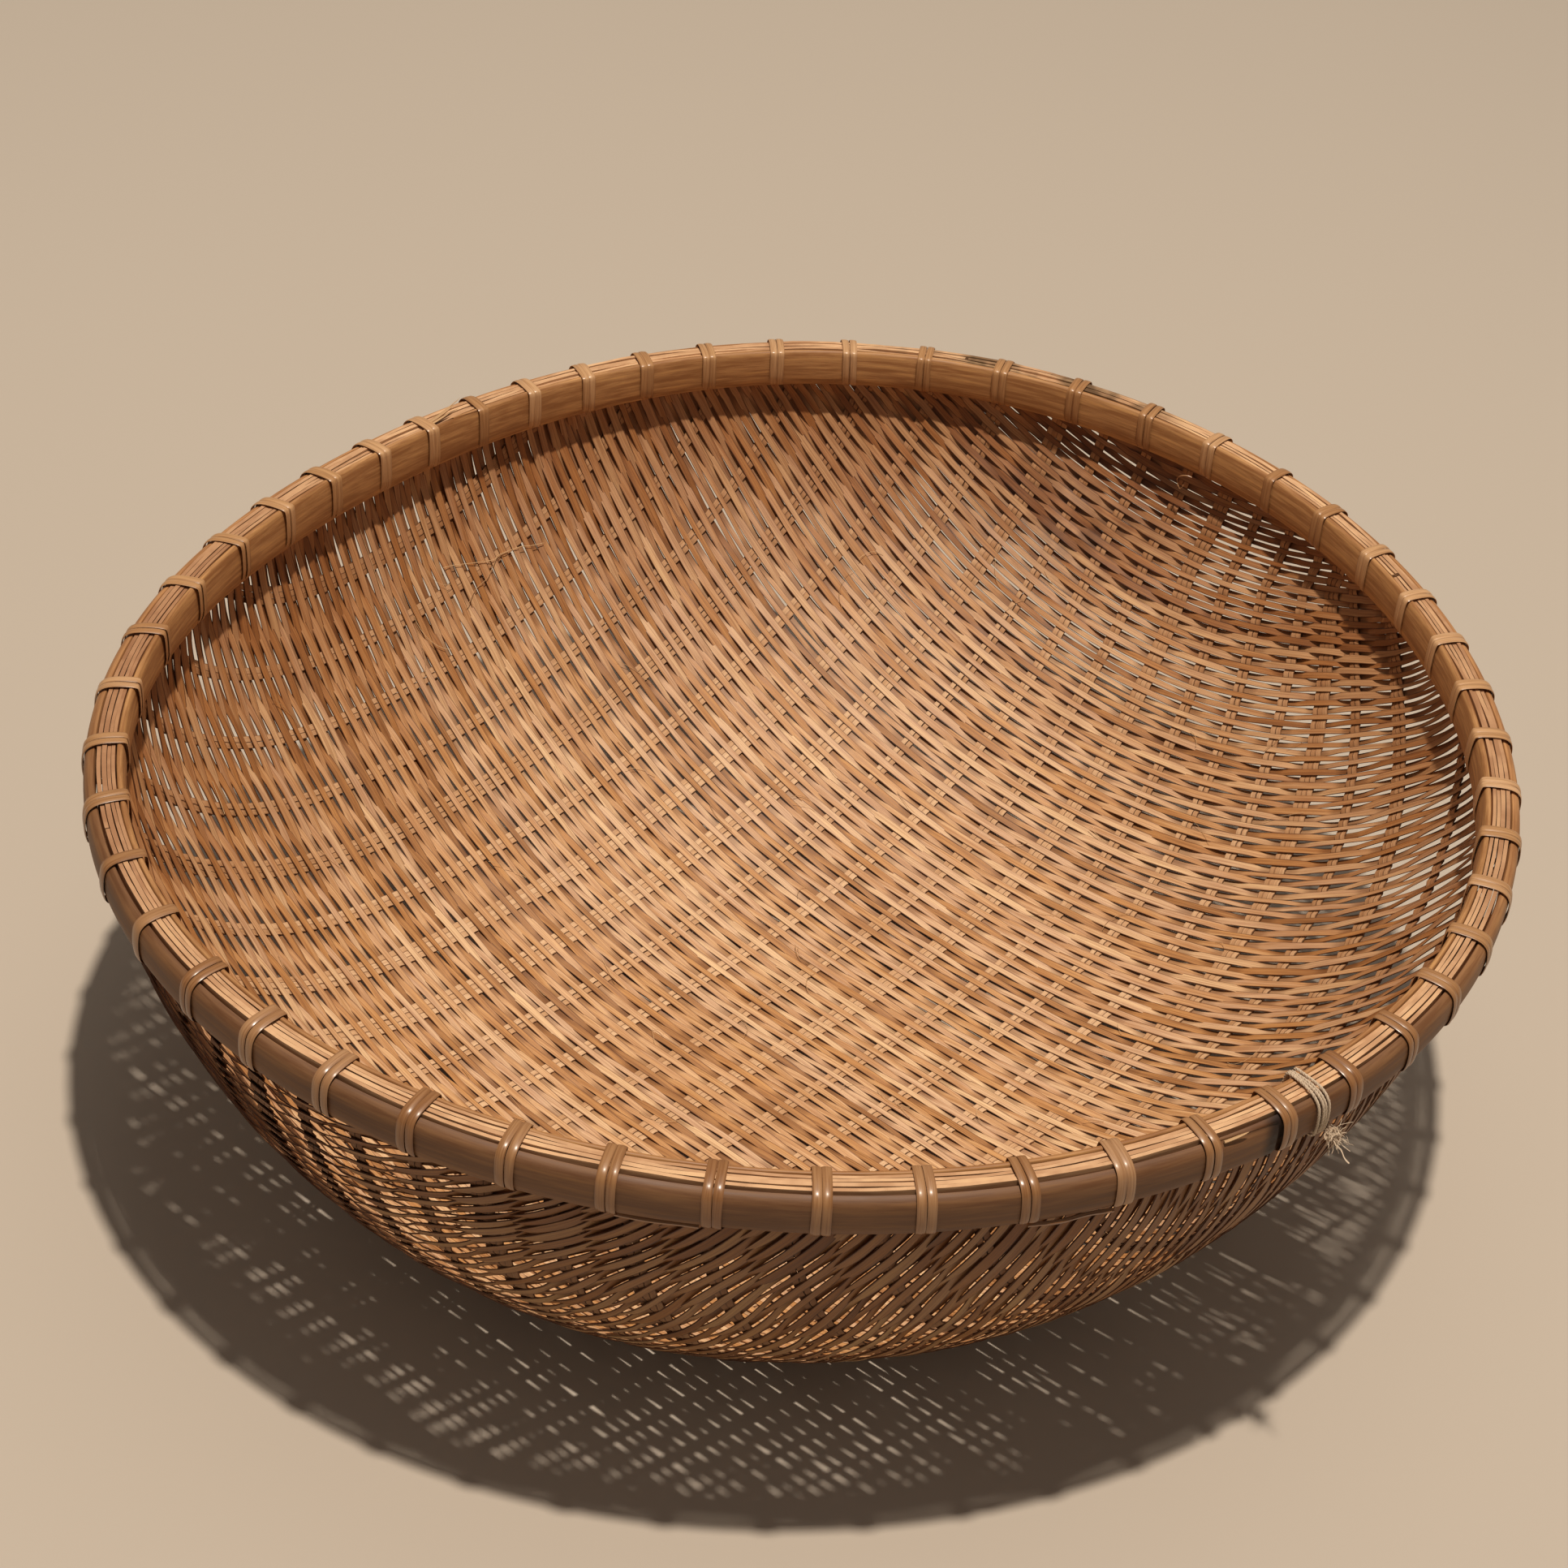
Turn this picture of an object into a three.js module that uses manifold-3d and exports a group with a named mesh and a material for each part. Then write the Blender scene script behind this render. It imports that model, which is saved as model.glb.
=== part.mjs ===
// Woven bamboo basket: a bowl of interlaced flat strips, clamped at its rim between bent bamboo
// hoops and edge strips, and bound all round with cane lashings and one tie of twine.
// Millimetres, +Z up. The origin is on the table, in the middle of the rim's outline.
import * as THREE from "three";
import Module from "manifold-3d";

// Rim outline, seen from above
const RIM_RADIUS = 250; // mean radius to the outermost skin of the outer hoop
const RIM_OVAL = 12; // how far the hand-bent rim is out of round
const OVAL_DIRECTION = 52; // degrees, where the rim is widest
const RIM_LOBE = 4.5; // threefold unevenness of the rim
const LOBE_DIRECTION = 86; // degrees, where one of its three swells lies

// Bowl of weave
const RIM_HEIGHT = 159; // top of the inner hoop above the table
const WEAVE_THICKNESS = 2.4; // one rib between two strips of weft
const BASE_RADIUS = 50; // flat part that the bowl rests on
const BOTTOM_SHIFT_X = 1; // how far the deepest part lies from under the rim's middle
const BOTTOM_SHIFT_Y = -58;
const PROFILE_FLATNESS = 2.36; // powers of the bowl's section curve
const PROFILE_STEEPNESS = 1.4;
const STRAIGHT_FOOT = 8; // upright wall that shows below the outer hoop

// Ribs of the weave, which lie nearly square to the wefts
const WEFT_DIRECTION = -34.58; // degrees, which way the wefts run
const RIB_PITCH = 23.9; // from one rib to the next in the middle of the bowl
const RIB_START = 6; // distance of the middle rib from the rim's middle
const RIB_CROWDING = 0.0012; // how fast the ribs draw together towards the sides
const RIB_SLANT = 0.105; // how far the middle rib leans over for each millimetre of its length
const RIB_FAN = 0.125; // change of that slant from the rim's middle to its side
const RIB_RELIEF = 0.6; // how far each face of the weave dips midway between two ribs
const BASE_MARGIN = 1.25; // the outer face has no relief below this many times the base's level

// Hoops and strips of the rim, each by its thickness across the rim and its height
const OUTER_HOOP_THICKNESS = 4;
const OUTER_HOOP_HEIGHT = 15;
const OUTER_HOOP_CROWN = 1; // how far the skin side of the outer hoop swells
const CROWN_SHARE = 0.4; // middle part of the skin side that is flat, as a share of its height
const INNER_HOOP_THICKNESS = 3;
const INNER_HOOP_HEIGHT = 15;
const HOOP_EDGE_ROUND = 0.8; // rounding of the hoops' edges
const EDGE_STRIP_THICKNESS = 1.8;
const EDGE_STRIP_HEIGHT = 11;
const CAP_STRIP_WIDTH = 2;
const CAP_STRIP_HEIGHT = 3;
const STRIP_DROP = 0.8; // strips lie this far below the tops of the hoops
const FIT_GAP = 0.3; // clearance between neighbouring pieces

// Joints of the hoops and strips, counted in lashings from the first one
const SCARF_TIP = 1; // thickness that a shaved end keeps
const SCARF_SPAN = 1.5; // shaved length, in lashing spaces
const OUTER_HOOP_JOINT = 15;
const INNER_HOOP_JOINT = 42;
const OUTER_STRIP_JOINT = 1.5;
const INNER_STRIP_JOINT = 27.5;
const CAP_STRIP_JOINT = 34.5;
const STRIP_END_SPACE = 0.04; // space left between butted strip ends, in lashing spaces

// Cane lashings
const LASHING_COUNT = 51;
const FIRST_LASHING = 197; // degrees
// The hand-laid spacing drifts: each swing has a size and a start in degrees, and a count of waves
const SPACING_SWINGS = [
  { size: 1, waves: 1, from: -69 },
  { size: 0.8, waves: 3, from: -58 },
  { size: 0.45, waves: 4, from: -2 },
];
const CANE_THICKNESS = 0.7;
const CANE_WIDTH = 2.6;
const CANE_PITCH = 3.4; // from one turn to the next
const CANE_TURNS = 2;
const WIDE_CANE_WIDTH = 4.4;
const WIDE_LASHINGS = [3, 4, 31, 43]; // laid as one turn of wider cane

// Twine tie
const TWINE_DIAMETER = 1.6;
const TWINE_PITCH = 2.1;
const TWINE_TURNS = 4;
const TWINE_PLACE = 16.45; // counted in lashings from the first one
const KNOT_DIAMETER = 4.4;
const KNOT_HEIGHT = 3;
const KNOT_TAIL = 2; // thread that stands out below the knot

// Fineness of the faceted surfaces
const STATIONS_PER_LASHING = 2;
const BOWL_ROWS = 20; // along a rib
const ROW_CROWDING = 1.35; // radians, how strongly the rows draw together up the sides
const EDGE_LEVEL = 0.988; // share of the radius where the rows end and the wall's foot begins
const SEARCH_STEPS = 400; // fineness of the search for a rib's ends
const SLOPE_STEP = 0.03; // distance over which the bowl's slope is measured
const LEVEL_ROUNDS = 30; // rounds in which the level of a point is brought closer
const TWINE_SIDES = 6;

const TURN = 2 * Math.PI;
const degrees = (value) => (value * Math.PI) / 180;

// Stack across the rim, as insets from the outer hoop's skin, and heights from the rim's top
const OUTER_STRIP_INSET = OUTER_HOOP_THICKNESS + FIT_GAP;
const WALL_INSET = OUTER_STRIP_INSET + EDGE_STRIP_THICKNESS + FIT_GAP;
const WALL_INNER_INSET = WALL_INSET + WEAVE_THICKNESS;
const INNER_STRIP_INSET = WALL_INNER_INSET + FIT_GAP;
const INNER_HOOP_INSET = INNER_STRIP_INSET + EDGE_STRIP_THICKNESS + FIT_GAP;
const RIM_WIDTH = INNER_HOOP_INSET + INNER_HOOP_THICKNESS;
const WALL_TOP = -(STRIP_DROP + CAP_STRIP_HEIGHT + FIT_GAP);
const WALL_FOOT = -(OUTER_HOOP_HEIGHT + STRAIGHT_FOOT);
const CROWN_TOP = (-OUTER_HOOP_HEIGHT * (1 - CROWN_SHARE)) / 2;
const CROWN_BOTTOM = (-OUTER_HOOP_HEIGHT * (1 + CROWN_SHARE)) / 2;
const LASHING_SPACE = (TURN * RIM_RADIUS) / LASHING_COUNT;
const BASE_LEVEL = BASE_RADIUS / (RIM_RADIUS - WALL_INSET);

// Direction of a place on the rim, counted in lashings.
function rimAngle(place) {
  const even = degrees(FIRST_LASHING) + (TURN * place) / LASHING_COUNT;
  return SPACING_SWINGS.reduce(
    (angle, swing) =>
      angle + degrees(swing.size) * Math.sin(swing.waves * (even - degrees(swing.from))),
    even,
  );
}

function rimRadius(angle) {
  const oval = RIM_OVAL * Math.cos(2 * (angle - degrees(OVAL_DIRECTION)));
  const lobe = RIM_LOBE * Math.cos(3 * (angle - degrees(LOBE_DIRECTION)));
  return RIM_RADIUS + oval + lobe;
}

function aroundRim(angle, radius, height) {
  return new THREE.Vector3(radius * Math.cos(angle), radius * Math.sin(angle), height);
}

// Every rim piece has its corners at the same stations, so the gaps between them stay even.
const stations = Array.from(
  { length: LASHING_COUNT * STATIONS_PER_LASHING },
  (_, index) => index / STATIONS_PER_LASHING,
);

// The rim is uneven, so the middle of its outline is found from its corners.
function outlineMiddle() {
  const corners = stations.map((place) => aroundRim(rimAngle(place), rimRadius(rimAngle(place)), 0));
  return new THREE.Box3().setFromPoints(corners).getCenter(new THREE.Vector3());
}

const middle = outlineMiddle();

function stationPoint(place, inset, height) {
  const angle = rimAngle(place);
  return aroundRim(angle, rimRadius(angle) - inset, RIM_HEIGHT + height).sub(middle);
}

// Point of the rim: inset from the outermost skin, height from the top of the inner hoop.
// Between two stations it lies on the straight line that joins them.
function rimPoint(place, inset, height) {
  const before = Math.floor(place * STATIONS_PER_LASHING) / STATIONS_PER_LASHING;
  const after = before + 1 / STATIONS_PER_LASHING;
  const share = (place - before) * STATIONS_PER_LASHING;
  return stationPoint(before, inset, height).lerp(stationPoint(after, inset, height), share);
}

// Closed solid through a row of loops of points, with a flat cap on each end.
function loftSolid(loops) {
  const sides = loops[0].length;
  const positions = loops.flat().flatMap((point) => point.toArray());
  const faces = [];
  for (let ring = 0; ring + 1 < loops.length; ring++) {
    for (let side = 0; side < sides; side++) {
      const here = ring * sides + side;
      const next = ring * sides + ((side + 1) % sides);
      faces.push(here, next, next + sides, here, next + sides, here + sides);
    }
  }
  const last = (loops.length - 1) * sides;
  for (let side = 1; side + 1 < sides; side++) {
    faces.push(0, side + 1, side);
    faces.push(last, last + side, last + side + 1);
  }
  const geometry = new THREE.BufferGeometry();
  geometry.setAttribute("position", new THREE.Float32BufferAttribute(positions, 3));
  geometry.setIndex(faces);
  geometry.computeVertexNormals();
  return geometry;
}

// Places from one joint round to the other, with every station between them.
function placesBetween(from, to) {
  const places = [from];
  const first = Math.floor(from * STATIONS_PER_LASHING) + 1;
  for (let station = first; station < to * STATIONS_PER_LASHING; station++) {
    places.push(station / STATIONS_PER_LASHING);
  }
  places.push(to);
  return places;
}

// Hoop bent from one split of bamboo, its two ends shaved to lie over each other.
function scarfedHoop(section, inset, thickness, joint) {
  const slope = (thickness - SCARF_TIP) / SCARF_SPAN;
  const shavedFace = (past) => Math.max(0, thickness - SCARF_TIP - slope * past);
  const reach = SCARF_SPAN - (SCARF_TIP + FIT_GAP) / slope;
  const overlap = Math.floor((joint + reach) * STATIONS_PER_LASHING) / STATIONS_PER_LASHING;
  const places = placesBetween(joint, overlap + LASHING_COUNT);
  const loops = places.map((place) => {
    const past = place - joint;
    const from = shavedFace(past);
    const to = past < LASHING_COUNT ? thickness : shavedFace(past - LASHING_COUNT) - FIT_GAP;
    return section.map(([across, height]) =>
      rimPoint(place, inset + Math.min(Math.max(across, from), to), height),
    );
  });
  return loftSolid(loops);
}

// Thin strip on edge whose two ends are butted.
function buttedStrip(inset, width, top, height, joint) {
  const section = [
    [inset, top - height],
    [inset + width, top - height],
    [inset + width, top],
    [inset, top],
  ];
  const places = placesBetween(joint, joint + LASHING_COUNT - STRIP_END_SPACE);
  const loops = places.map((place) =>
    section.map(([across, level]) => rimPoint(place, across, level)),
  );
  return loftSolid(loops);
}

function outerHoop() {
  const section = [
    [OUTER_HOOP_CROWN, -OUTER_HOOP_HEIGHT],
    [OUTER_HOOP_THICKNESS, -OUTER_HOOP_HEIGHT],
    [OUTER_HOOP_THICKNESS, -HOOP_EDGE_ROUND],
    [OUTER_HOOP_THICKNESS - HOOP_EDGE_ROUND, 0],
    [OUTER_HOOP_CROWN, -HOOP_EDGE_ROUND],
    [0, CROWN_TOP],
    [0, CROWN_BOTTOM],
  ];
  return scarfedHoop(section, 0, OUTER_HOOP_THICKNESS, OUTER_HOOP_JOINT);
}

function innerHoop() {
  const section = [
    [0, -INNER_HOOP_HEIGHT],
    [INNER_HOOP_THICKNESS, -INNER_HOOP_HEIGHT],
    [INNER_HOOP_THICKNESS, -HOOP_EDGE_ROUND],
    [INNER_HOOP_THICKNESS - HOOP_EDGE_ROUND, 0],
    [HOOP_EDGE_ROUND, 0],
    [0, -HOOP_EDGE_ROUND],
  ];
  return scarfedHoop(section, INNER_HOOP_INSET, INNER_HOOP_THICKNESS, INNER_HOOP_JOINT);
}

function outerEdgeStrip() {
  return buttedStrip(
    OUTER_STRIP_INSET,
    EDGE_STRIP_THICKNESS,
    -STRIP_DROP,
    EDGE_STRIP_HEIGHT,
    OUTER_STRIP_JOINT,
  );
}

function innerEdgeStrip() {
  return buttedStrip(
    INNER_STRIP_INSET,
    EDGE_STRIP_THICKNESS,
    -STRIP_DROP,
    EDGE_STRIP_HEIGHT,
    INNER_STRIP_JOINT,
  );
}

function capStrip() {
  const inset = WALL_INSET + (WEAVE_THICKNESS - CAP_STRIP_WIDTH) / 2;
  return buttedStrip(inset, CAP_STRIP_WIDTH, -STRIP_DROP, CAP_STRIP_HEIGHT, CAP_STRIP_JOINT);
}

// Outer surface of the bowl: level runs from 0 at its deepest point to 1 at the upright wall.
function bowlPoint(angle, level) {
  const spread = Math.max(0, (level - BASE_LEVEL) / (1 - BASE_LEVEL));
  const rise = 1 - Math.pow(1 - Math.pow(spread, PROFILE_FLATNESS), 1 / PROFILE_STEEPNESS);
  const radius = level * (rimRadius(angle) - WALL_INSET);
  const lean = 1 - level * level;
  const point = aroundRim(angle, radius, rise * (RIM_HEIGHT + WALL_FOOT));
  return point.sub(middle).add(new THREE.Vector3(lean * BOTTOM_SHIFT_X, lean * BOTTOM_SHIFT_Y, 0));
}

// Direction and level of the bowl at a point of its plan, given along the wefts and across them.
function bowlPlace(along, across) {
  const weft = degrees(WEFT_DIRECTION);
  const x = along * Math.cos(weft) - across * Math.sin(weft);
  const y = along * Math.sin(weft) + across * Math.cos(weft);
  let angle = 0;
  let level = BASE_LEVEL;
  for (let round = 0; round < LEVEL_ROUNDS; round++) {
    const lean = 1 - level * level;
    const [east, north] = [x - lean * BOTTOM_SHIFT_X, y - lean * BOTTOM_SHIFT_Y];
    angle = Math.atan2(north, east);
    level = Math.hypot(east, north) / (rimRadius(angle) - WALL_INSET);
  }
  return { angle, level };
}

// Line of a rib across the plan; halves lie midway between two ribs.
function ribAlong(index, across) {
  const start = RIB_START + RIB_PITCH * index * (1 - RIB_CROWDING * index * index);
  return start + across * (RIB_SLANT + (RIB_FAN * start) / RIM_RADIUS);
}

// Where a rib's line reaches the foot of the wall, or nothing if it misses the bowl.
function ribReach(index) {
  const isInside = (across) => bowlPlace(ribAlong(index, across), across).level < EDGE_LEVEL;
  const span = 2 * RIM_RADIUS;
  const tries = Array.from({ length: SEARCH_STEPS }, (_, step) => (step / SEARCH_STEPS - 0.5) * span);
  const held = tries.filter(isInside);
  if (held.length < BOWL_ROWS) {
    return null;
  }
  return [
    [held[0], -1],
    [held.at(-1), 1],
  ].map(([start, side]) => {
    let [inside, outside] = [start, start + (side * span) / SEARCH_STEPS];
    for (let round = 0; round < LEVEL_ROUNDS; round++) {
      const half = (inside + outside) / 2;
      [inside, outside] = isInside(half) ? [half, outside] : [inside, half];
    }
    return inside;
  });
}

// Corner of the weave: side is -1 for its outer face and 1 for its inner one. The weave is thick
// where wefts pass over and under a rib, and thin between; its base stays flat to stand on.
function weaveCorner(along, across, side, isRib) {
  const at = (ahead, aside) => {
    const place = bowlPlace(along + ahead, across + aside);
    return bowlPoint(place.angle, place.level);
  };
  const step = SLOPE_STEP;
  const ahead = at(step, 0).sub(at(-step, 0));
  const inwards = ahead.cross(at(0, step).sub(at(0, -step))).normalize();
  const isBase = side < 0 && bowlPlace(along, across).level < BASE_LEVEL * BASE_MARGIN;
  const half = WEAVE_THICKNESS / 2 - (isRib || isBase ? 0 : RIB_RELIEF);
  return at(0, 0).addScaledVector(inwards, WEAVE_THICKNESS / 2 + side * half);
}

// Lines of the bowl's net: one on each rib and one between each two, with rows along them.
function bowlNet() {
  const net = [];
  const last = Math.floor(2 / Math.sqrt(3 * RIB_CROWDING)); // past this the lines would turn back
  for (let half = -last; half <= last; half++) {
    const reach = ribReach(half / 2);
    if (reach) {
      const [middleAcross, span] = [(reach[0] + reach[1]) / 2, (reach[1] - reach[0]) / 2];
      const line = Array.from({ length: BOWL_ROWS + 1 }, (_, row) => {
        const share = Math.sin(ROW_CROWDING * ((2 * row) / BOWL_ROWS - 1)) / Math.sin(ROW_CROWDING);
        const across = middleAcross + span * share;
        const along = ribAlong(half / 2, across);
        return {
          angle: bowlPlace(along, across).angle,
          faces: [-1, 1].map((side) => weaveCorner(along, across, side, half % 2 === 0)),
        };
      });
      net.push(line);
    }
  }
  return net;
}

// Triangles of the band between two closed rings of corners, matched by their directions.
function bandBetween(inner, outer) {
  const ahead = (from, to) => {
    const turned = (((to - from) % TURN) + TURN) % TURN;
    return turned > Math.PI ? turned - TURN : turned;
  };
  const offsets = outer.map((corner) => Math.abs(ahead(inner[0].angle, corner.angle)));
  const start = offsets.indexOf(Math.min(...offsets));
  const triangles = [];
  let [near, far] = [0, 0];
  while (near < inner.length || far < outer.length) {
    const here = inner[near % inner.length];
    const there = outer[(start + far) % outer.length];
    const nextNear = inner[(near + 1) % inner.length];
    const nextFar = outer[(start + far + 1) % outer.length];
    const isFarBehind = ahead(nextNear.angle, nextFar.angle) < 0;
    if (far < outer.length && (near === inner.length || isFarBehind)) {
      triangles.push([here.corner, there.corner, nextFar.corner]);
      far++;
    } else {
      triangles.push([here.corner, there.corner, nextNear.corner]);
      near++;
    }
  }
  return triangles;
}

// Closed bowl with a relief of ribs, whose upright wall stands between the two edge strips.
function bowlSolid() {
  const net = bowlNet();
  const corners = [];
  const triangles = [];
  const put = (point) => corners.push(point) - 1;
  const grids = [0, 1].map((face) => net.map((line) => line.map((place) => put(place.faces[face]))));
  const wall = [
    [WALL_INSET, WALL_FOOT],
    [WALL_INSET, WALL_TOP],
    [WALL_INNER_INSET, WALL_TOP],
    [WALL_INNER_INSET, WALL_FOOT],
  ].map(([inset, height]) => stations.map((place) => put(stationPoint(place, inset, height))));
  const lines = net.length - 1;
  const edge = [
    ...net.slice(0, -1).map((_, line) => [line, 0]),
    ...net[0].slice(0, -1).map((_, row) => [lines, row]),
    ...net.slice(0, -1).map((_, line) => [lines - line, BOWL_ROWS]),
    ...net[0].slice(0, -1).map((_, row) => [0, BOWL_ROWS - row]),
  ];
  grids.forEach((grid, face) => {
    const faceUp = [];
    for (let line = 0; line < lines; line++) {
      for (let row = 0; row < BOWL_ROWS; row++) {
        const [here, right] = [grid[line][row], grid[line + 1][row]];
        const [above, beyond] = [grid[line][row + 1], grid[line + 1][row + 1]];
        faceUp.push([here, right, beyond], [here, beyond, above]);
      }
    }
    const ring = edge.map(([line, row]) => ({
      angle: net[line][row].angle,
      corner: grid[line][row],
    }));
    const foot = wall[face ? 3 : 0].map((corner, index) => ({
      angle: rimAngle(stations[index]),
      corner,
    }));
    faceUp.push(...bandBetween(ring, foot));
    triangles.push(...faceUp.map(([a, b, c]) => (face ? [a, b, c] : [a, c, b])));
  });
  for (let ring = 0; ring + 1 < wall.length; ring++) {
    for (let index = 0; index < stations.length; index++) {
      const next = (index + 1) % stations.length;
      const [here, beside] = [wall[ring][index], wall[ring][next]];
      const [above, beyond] = [wall[ring + 1][index], wall[ring + 1][next]];
      triangles.push([here, beside, beyond], [here, beyond, above]);
    }
  }
  const geometry = new THREE.BufferGeometry();
  const positions = corners.flatMap((point) => point.toArray());
  geometry.setAttribute("position", new THREE.Float32BufferAttribute(positions, 3));
  geometry.setIndex(triangles.flat());
  geometry.computeVertexNormals();
  return geometry;
}

// One turn round the whole rim, as insets and heights; away is the distance that its middle keeps
// from the hoops. It passes through the wall just below them.
function turnAround(away) {
  const below = -(OUTER_HOOP_HEIGHT + away);
  const crown = OUTER_HOOP_CROWN - away;
  return [
    [RIM_WIDTH + away, -(INNER_HOOP_HEIGHT + away)],
    [RIM_WIDTH + away, -HOOP_EDGE_ROUND],
    [RIM_WIDTH - HOOP_EDGE_ROUND, away],
    [OUTER_HOOP_THICKNESS - HOOP_EDGE_ROUND, away],
    [crown, 0],
    [-away, CROWN_TOP],
    [-away, CROWN_BOTTOM],
    [crown, below],
    [WALL_INSET + WEAVE_THICKNESS / 2, below],
  ];
}

// Point on the straight run from the wall up to the inner hoop's lower edge.
function insideRun(away, inset) {
  const turn = turnAround(away);
  const [start, end] = [turn.at(-1), turn[0]];
  const share = (inset - start[0]) / (end[0] - start[0]);
  return [inset, start[1] + share * (end[1] - start[1])];
}

// Helix of turns side by side. Each entry is an inset, a height and a distance along the rim.
function windPath(away, turns, pitch) {
  const turn = turnAround(away);
  const inside = insideRun(away, WALL_INNER_INSET + FIT_GAP + away);
  const outside = [WALL_INSET - FIT_GAP, turn.at(-1)[1]];
  const bends = Array.from({ length: turns }, () => turn).flat().slice(0, -1);
  const corners = [inside, ...bends, outside];
  const reach = corners.map((corner, index) =>
    index ? Math.hypot(corner[0] - corners[index - 1][0], corner[1] - corners[index - 1][1]) : 0,
  );
  const length = reach.reduce((sum, part) => sum + part, 0);
  let gone = 0;
  return corners.map(([inset, height], index) => {
    gone += reach[index];
    return [inset, height, (gone / length - 0.5) * turns * pitch];
  });
}

// Loops of a strand of even section laid along a path. The section holds distances away from the
// rim and along it; at a bend it is widened so that both straight runs keep their thickness.
function strandLoops(path, section, place) {
  const heading = (from, to) => new THREE.Vector2(to[0] - from[0], to[1] - from[1]).normalize();
  return path.map(([inset, height, along, swell = 1], index) => {
    const before = heading(path[Math.max(0, index - 1)], path[Math.max(1, index)]);
    const after = index + 1 < path.length ? heading(path[index], path[index + 1]) : before;
    const bend = before.clone().add(after).normalize();
    const widen = 1 / bend.dot(before);
    return section.map(([off, side]) =>
      rimPoint(
        place + (along + swell * side) / LASHING_SPACE,
        inset - bend.y * widen * off * swell,
        height + bend.x * widen * off * swell,
      ),
    );
  });
}

const CORNERS_PER_TURN = turnAround(0).length;

// Least distance between corners of neighbouring turns, measured on the strand's points.
function leastTurnGap(loops) {
  let least = Infinity;
  loops.forEach((loop, index) => {
    const neighbours = loops.slice(index + CORNERS_PER_TURN - 2).flat();
    for (const point of loop) {
      for (const other of neighbours) {
        least = Math.min(least, point.distanceTo(other));
      }
    }
  });
  return least;
}

function caneLoops(number) {
  const wide = WIDE_LASHINGS.includes(number);
  const width = wide ? WIDE_CANE_WIDTH : CANE_WIDTH;
  const path = windPath(FIT_GAP + CANE_THICKNESS / 2, wide ? 1 : CANE_TURNS, CANE_PITCH);
  const section = [
    [CANE_THICKNESS / 2, -width / 2],
    [CANE_THICKNESS / 2, width / 2],
    [-CANE_THICKNESS / 2, width / 2],
    [-CANE_THICKNESS / 2, -width / 2],
  ];
  return strandLoops(path, section, number - 1);
}

// The twine ends in a knot against the lower edge of the outer hoop.
function twineLoops() {
  const radius = TWINE_DIAMETER / 2;
  const away = FIT_GAP + radius;
  const path = windPath(away, TWINE_TURNS, TWINE_PITCH).slice(0, -2);
  const along = path.at(-1)[2];
  const knot = KNOT_DIAMETER / TWINE_DIAMETER;
  const knotInset = -(FIT_GAP + KNOT_DIAMETER / 2);
  const beside = along + KNOT_DIAMETER / 2;
  const tip = -(OUTER_HOOP_HEIGHT + KNOT_TAIL / 2);
  path.push([knotInset, tip + KNOT_TAIL + KNOT_HEIGHT, beside, knot]);
  path.push([knotInset, tip + KNOT_TAIL, beside, knot]);
  path.push([knotInset, tip, beside]);
  const section = Array.from({ length: TWINE_SIDES }, (_, side) => {
    const turn = (TURN * side) / TWINE_SIDES;
    return [radius * Math.cos(turn), radius * Math.sin(turn)];
  });
  return strandLoops(path, section, TWINE_PLACE);
}

const wasm = await Module();
wasm.setup();

function toManifold(geometry) {
  return new wasm.Manifold(
    new wasm.Mesh({
      numProp: 3,
      vertProperties: new Float32Array(geometry.attributes.position.array),
      triVerts: new Uint32Array(geometry.index.array),
    }),
  );
}

function fromManifold(solid) {
  const mesh = solid.getMesh();
  const geometry = new THREE.BufferGeometry();
  geometry.setAttribute("position", new THREE.BufferAttribute(mesh.vertProperties, 3));
  geometry.setIndex(new THREE.BufferAttribute(mesh.triVerts, 1));
  geometry.computeVertexNormals();
  return geometry;
}

// Block that cuts a slot through the wall where a strand crosses it.
function slotCutter(place, width, away, half) {
  const low = -(OUTER_HOOP_HEIGHT + away) - half - FIT_GAP;
  const high = insideRun(away, WALL_INNER_INSET)[1] + half + FIT_GAP;
  const sides = [-1, 1].map((side) => place + (side * width) / 2 / LASHING_SPACE);
  const block = sides.map((edge) => [
    rimPoint(edge, WALL_INSET - FIT_GAP, low),
    rimPoint(edge, WALL_INNER_INSET + FIT_GAP, low),
    rimPoint(edge, WALL_INNER_INSET + FIT_GAP, high),
    rimPoint(edge, WALL_INSET - FIT_GAP, high),
  ]);
  return toManifold(loftSolid(block));
}

function wovenBowl() {
  const caneHalf = CANE_THICKNESS / 2;
  const caneSlot = CANE_WIDTH + (CANE_TURNS - 2) * CANE_PITCH + 4 * FIT_GAP;
  const twineHalf = TWINE_DIAMETER / 2;
  const twineSlot = TWINE_DIAMETER + (TWINE_TURNS - 2) * TWINE_PITCH + 4 * FIT_GAP;
  let bowl = toManifold(bowlSolid());
  for (let number = 1; number <= LASHING_COUNT; number++) {
    if (!WIDE_LASHINGS.includes(number)) {
      bowl = bowl.subtract(slotCutter(number - 1, caneSlot, FIT_GAP + caneHalf, caneHalf));
    }
  }
  bowl = bowl.subtract(slotCutter(TWINE_PLACE, twineSlot, FIT_GAP + twineHalf, twineHalf));
  return fromManifold(bowl);
}

const weave = { color: 0xc39a62, roughness: 0.75, metalness: 0 };
const bamboo = { color: 0xa9804c, roughness: 0.5, metalness: 0 };
const splitBamboo = { color: 0xd0a877, roughness: 0.65, metalness: 0 };
const cane = { color: 0xb4762f, roughness: 0.35, metalness: 0 };
const thread = { color: 0xd9cfc0, roughness: 0.9, metalness: 0 };

function named(name, geometry, look) {
  const mesh = new THREE.Mesh(geometry, new THREE.MeshStandardMaterial(look));
  mesh.name = name;
  return mesh;
}

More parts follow.
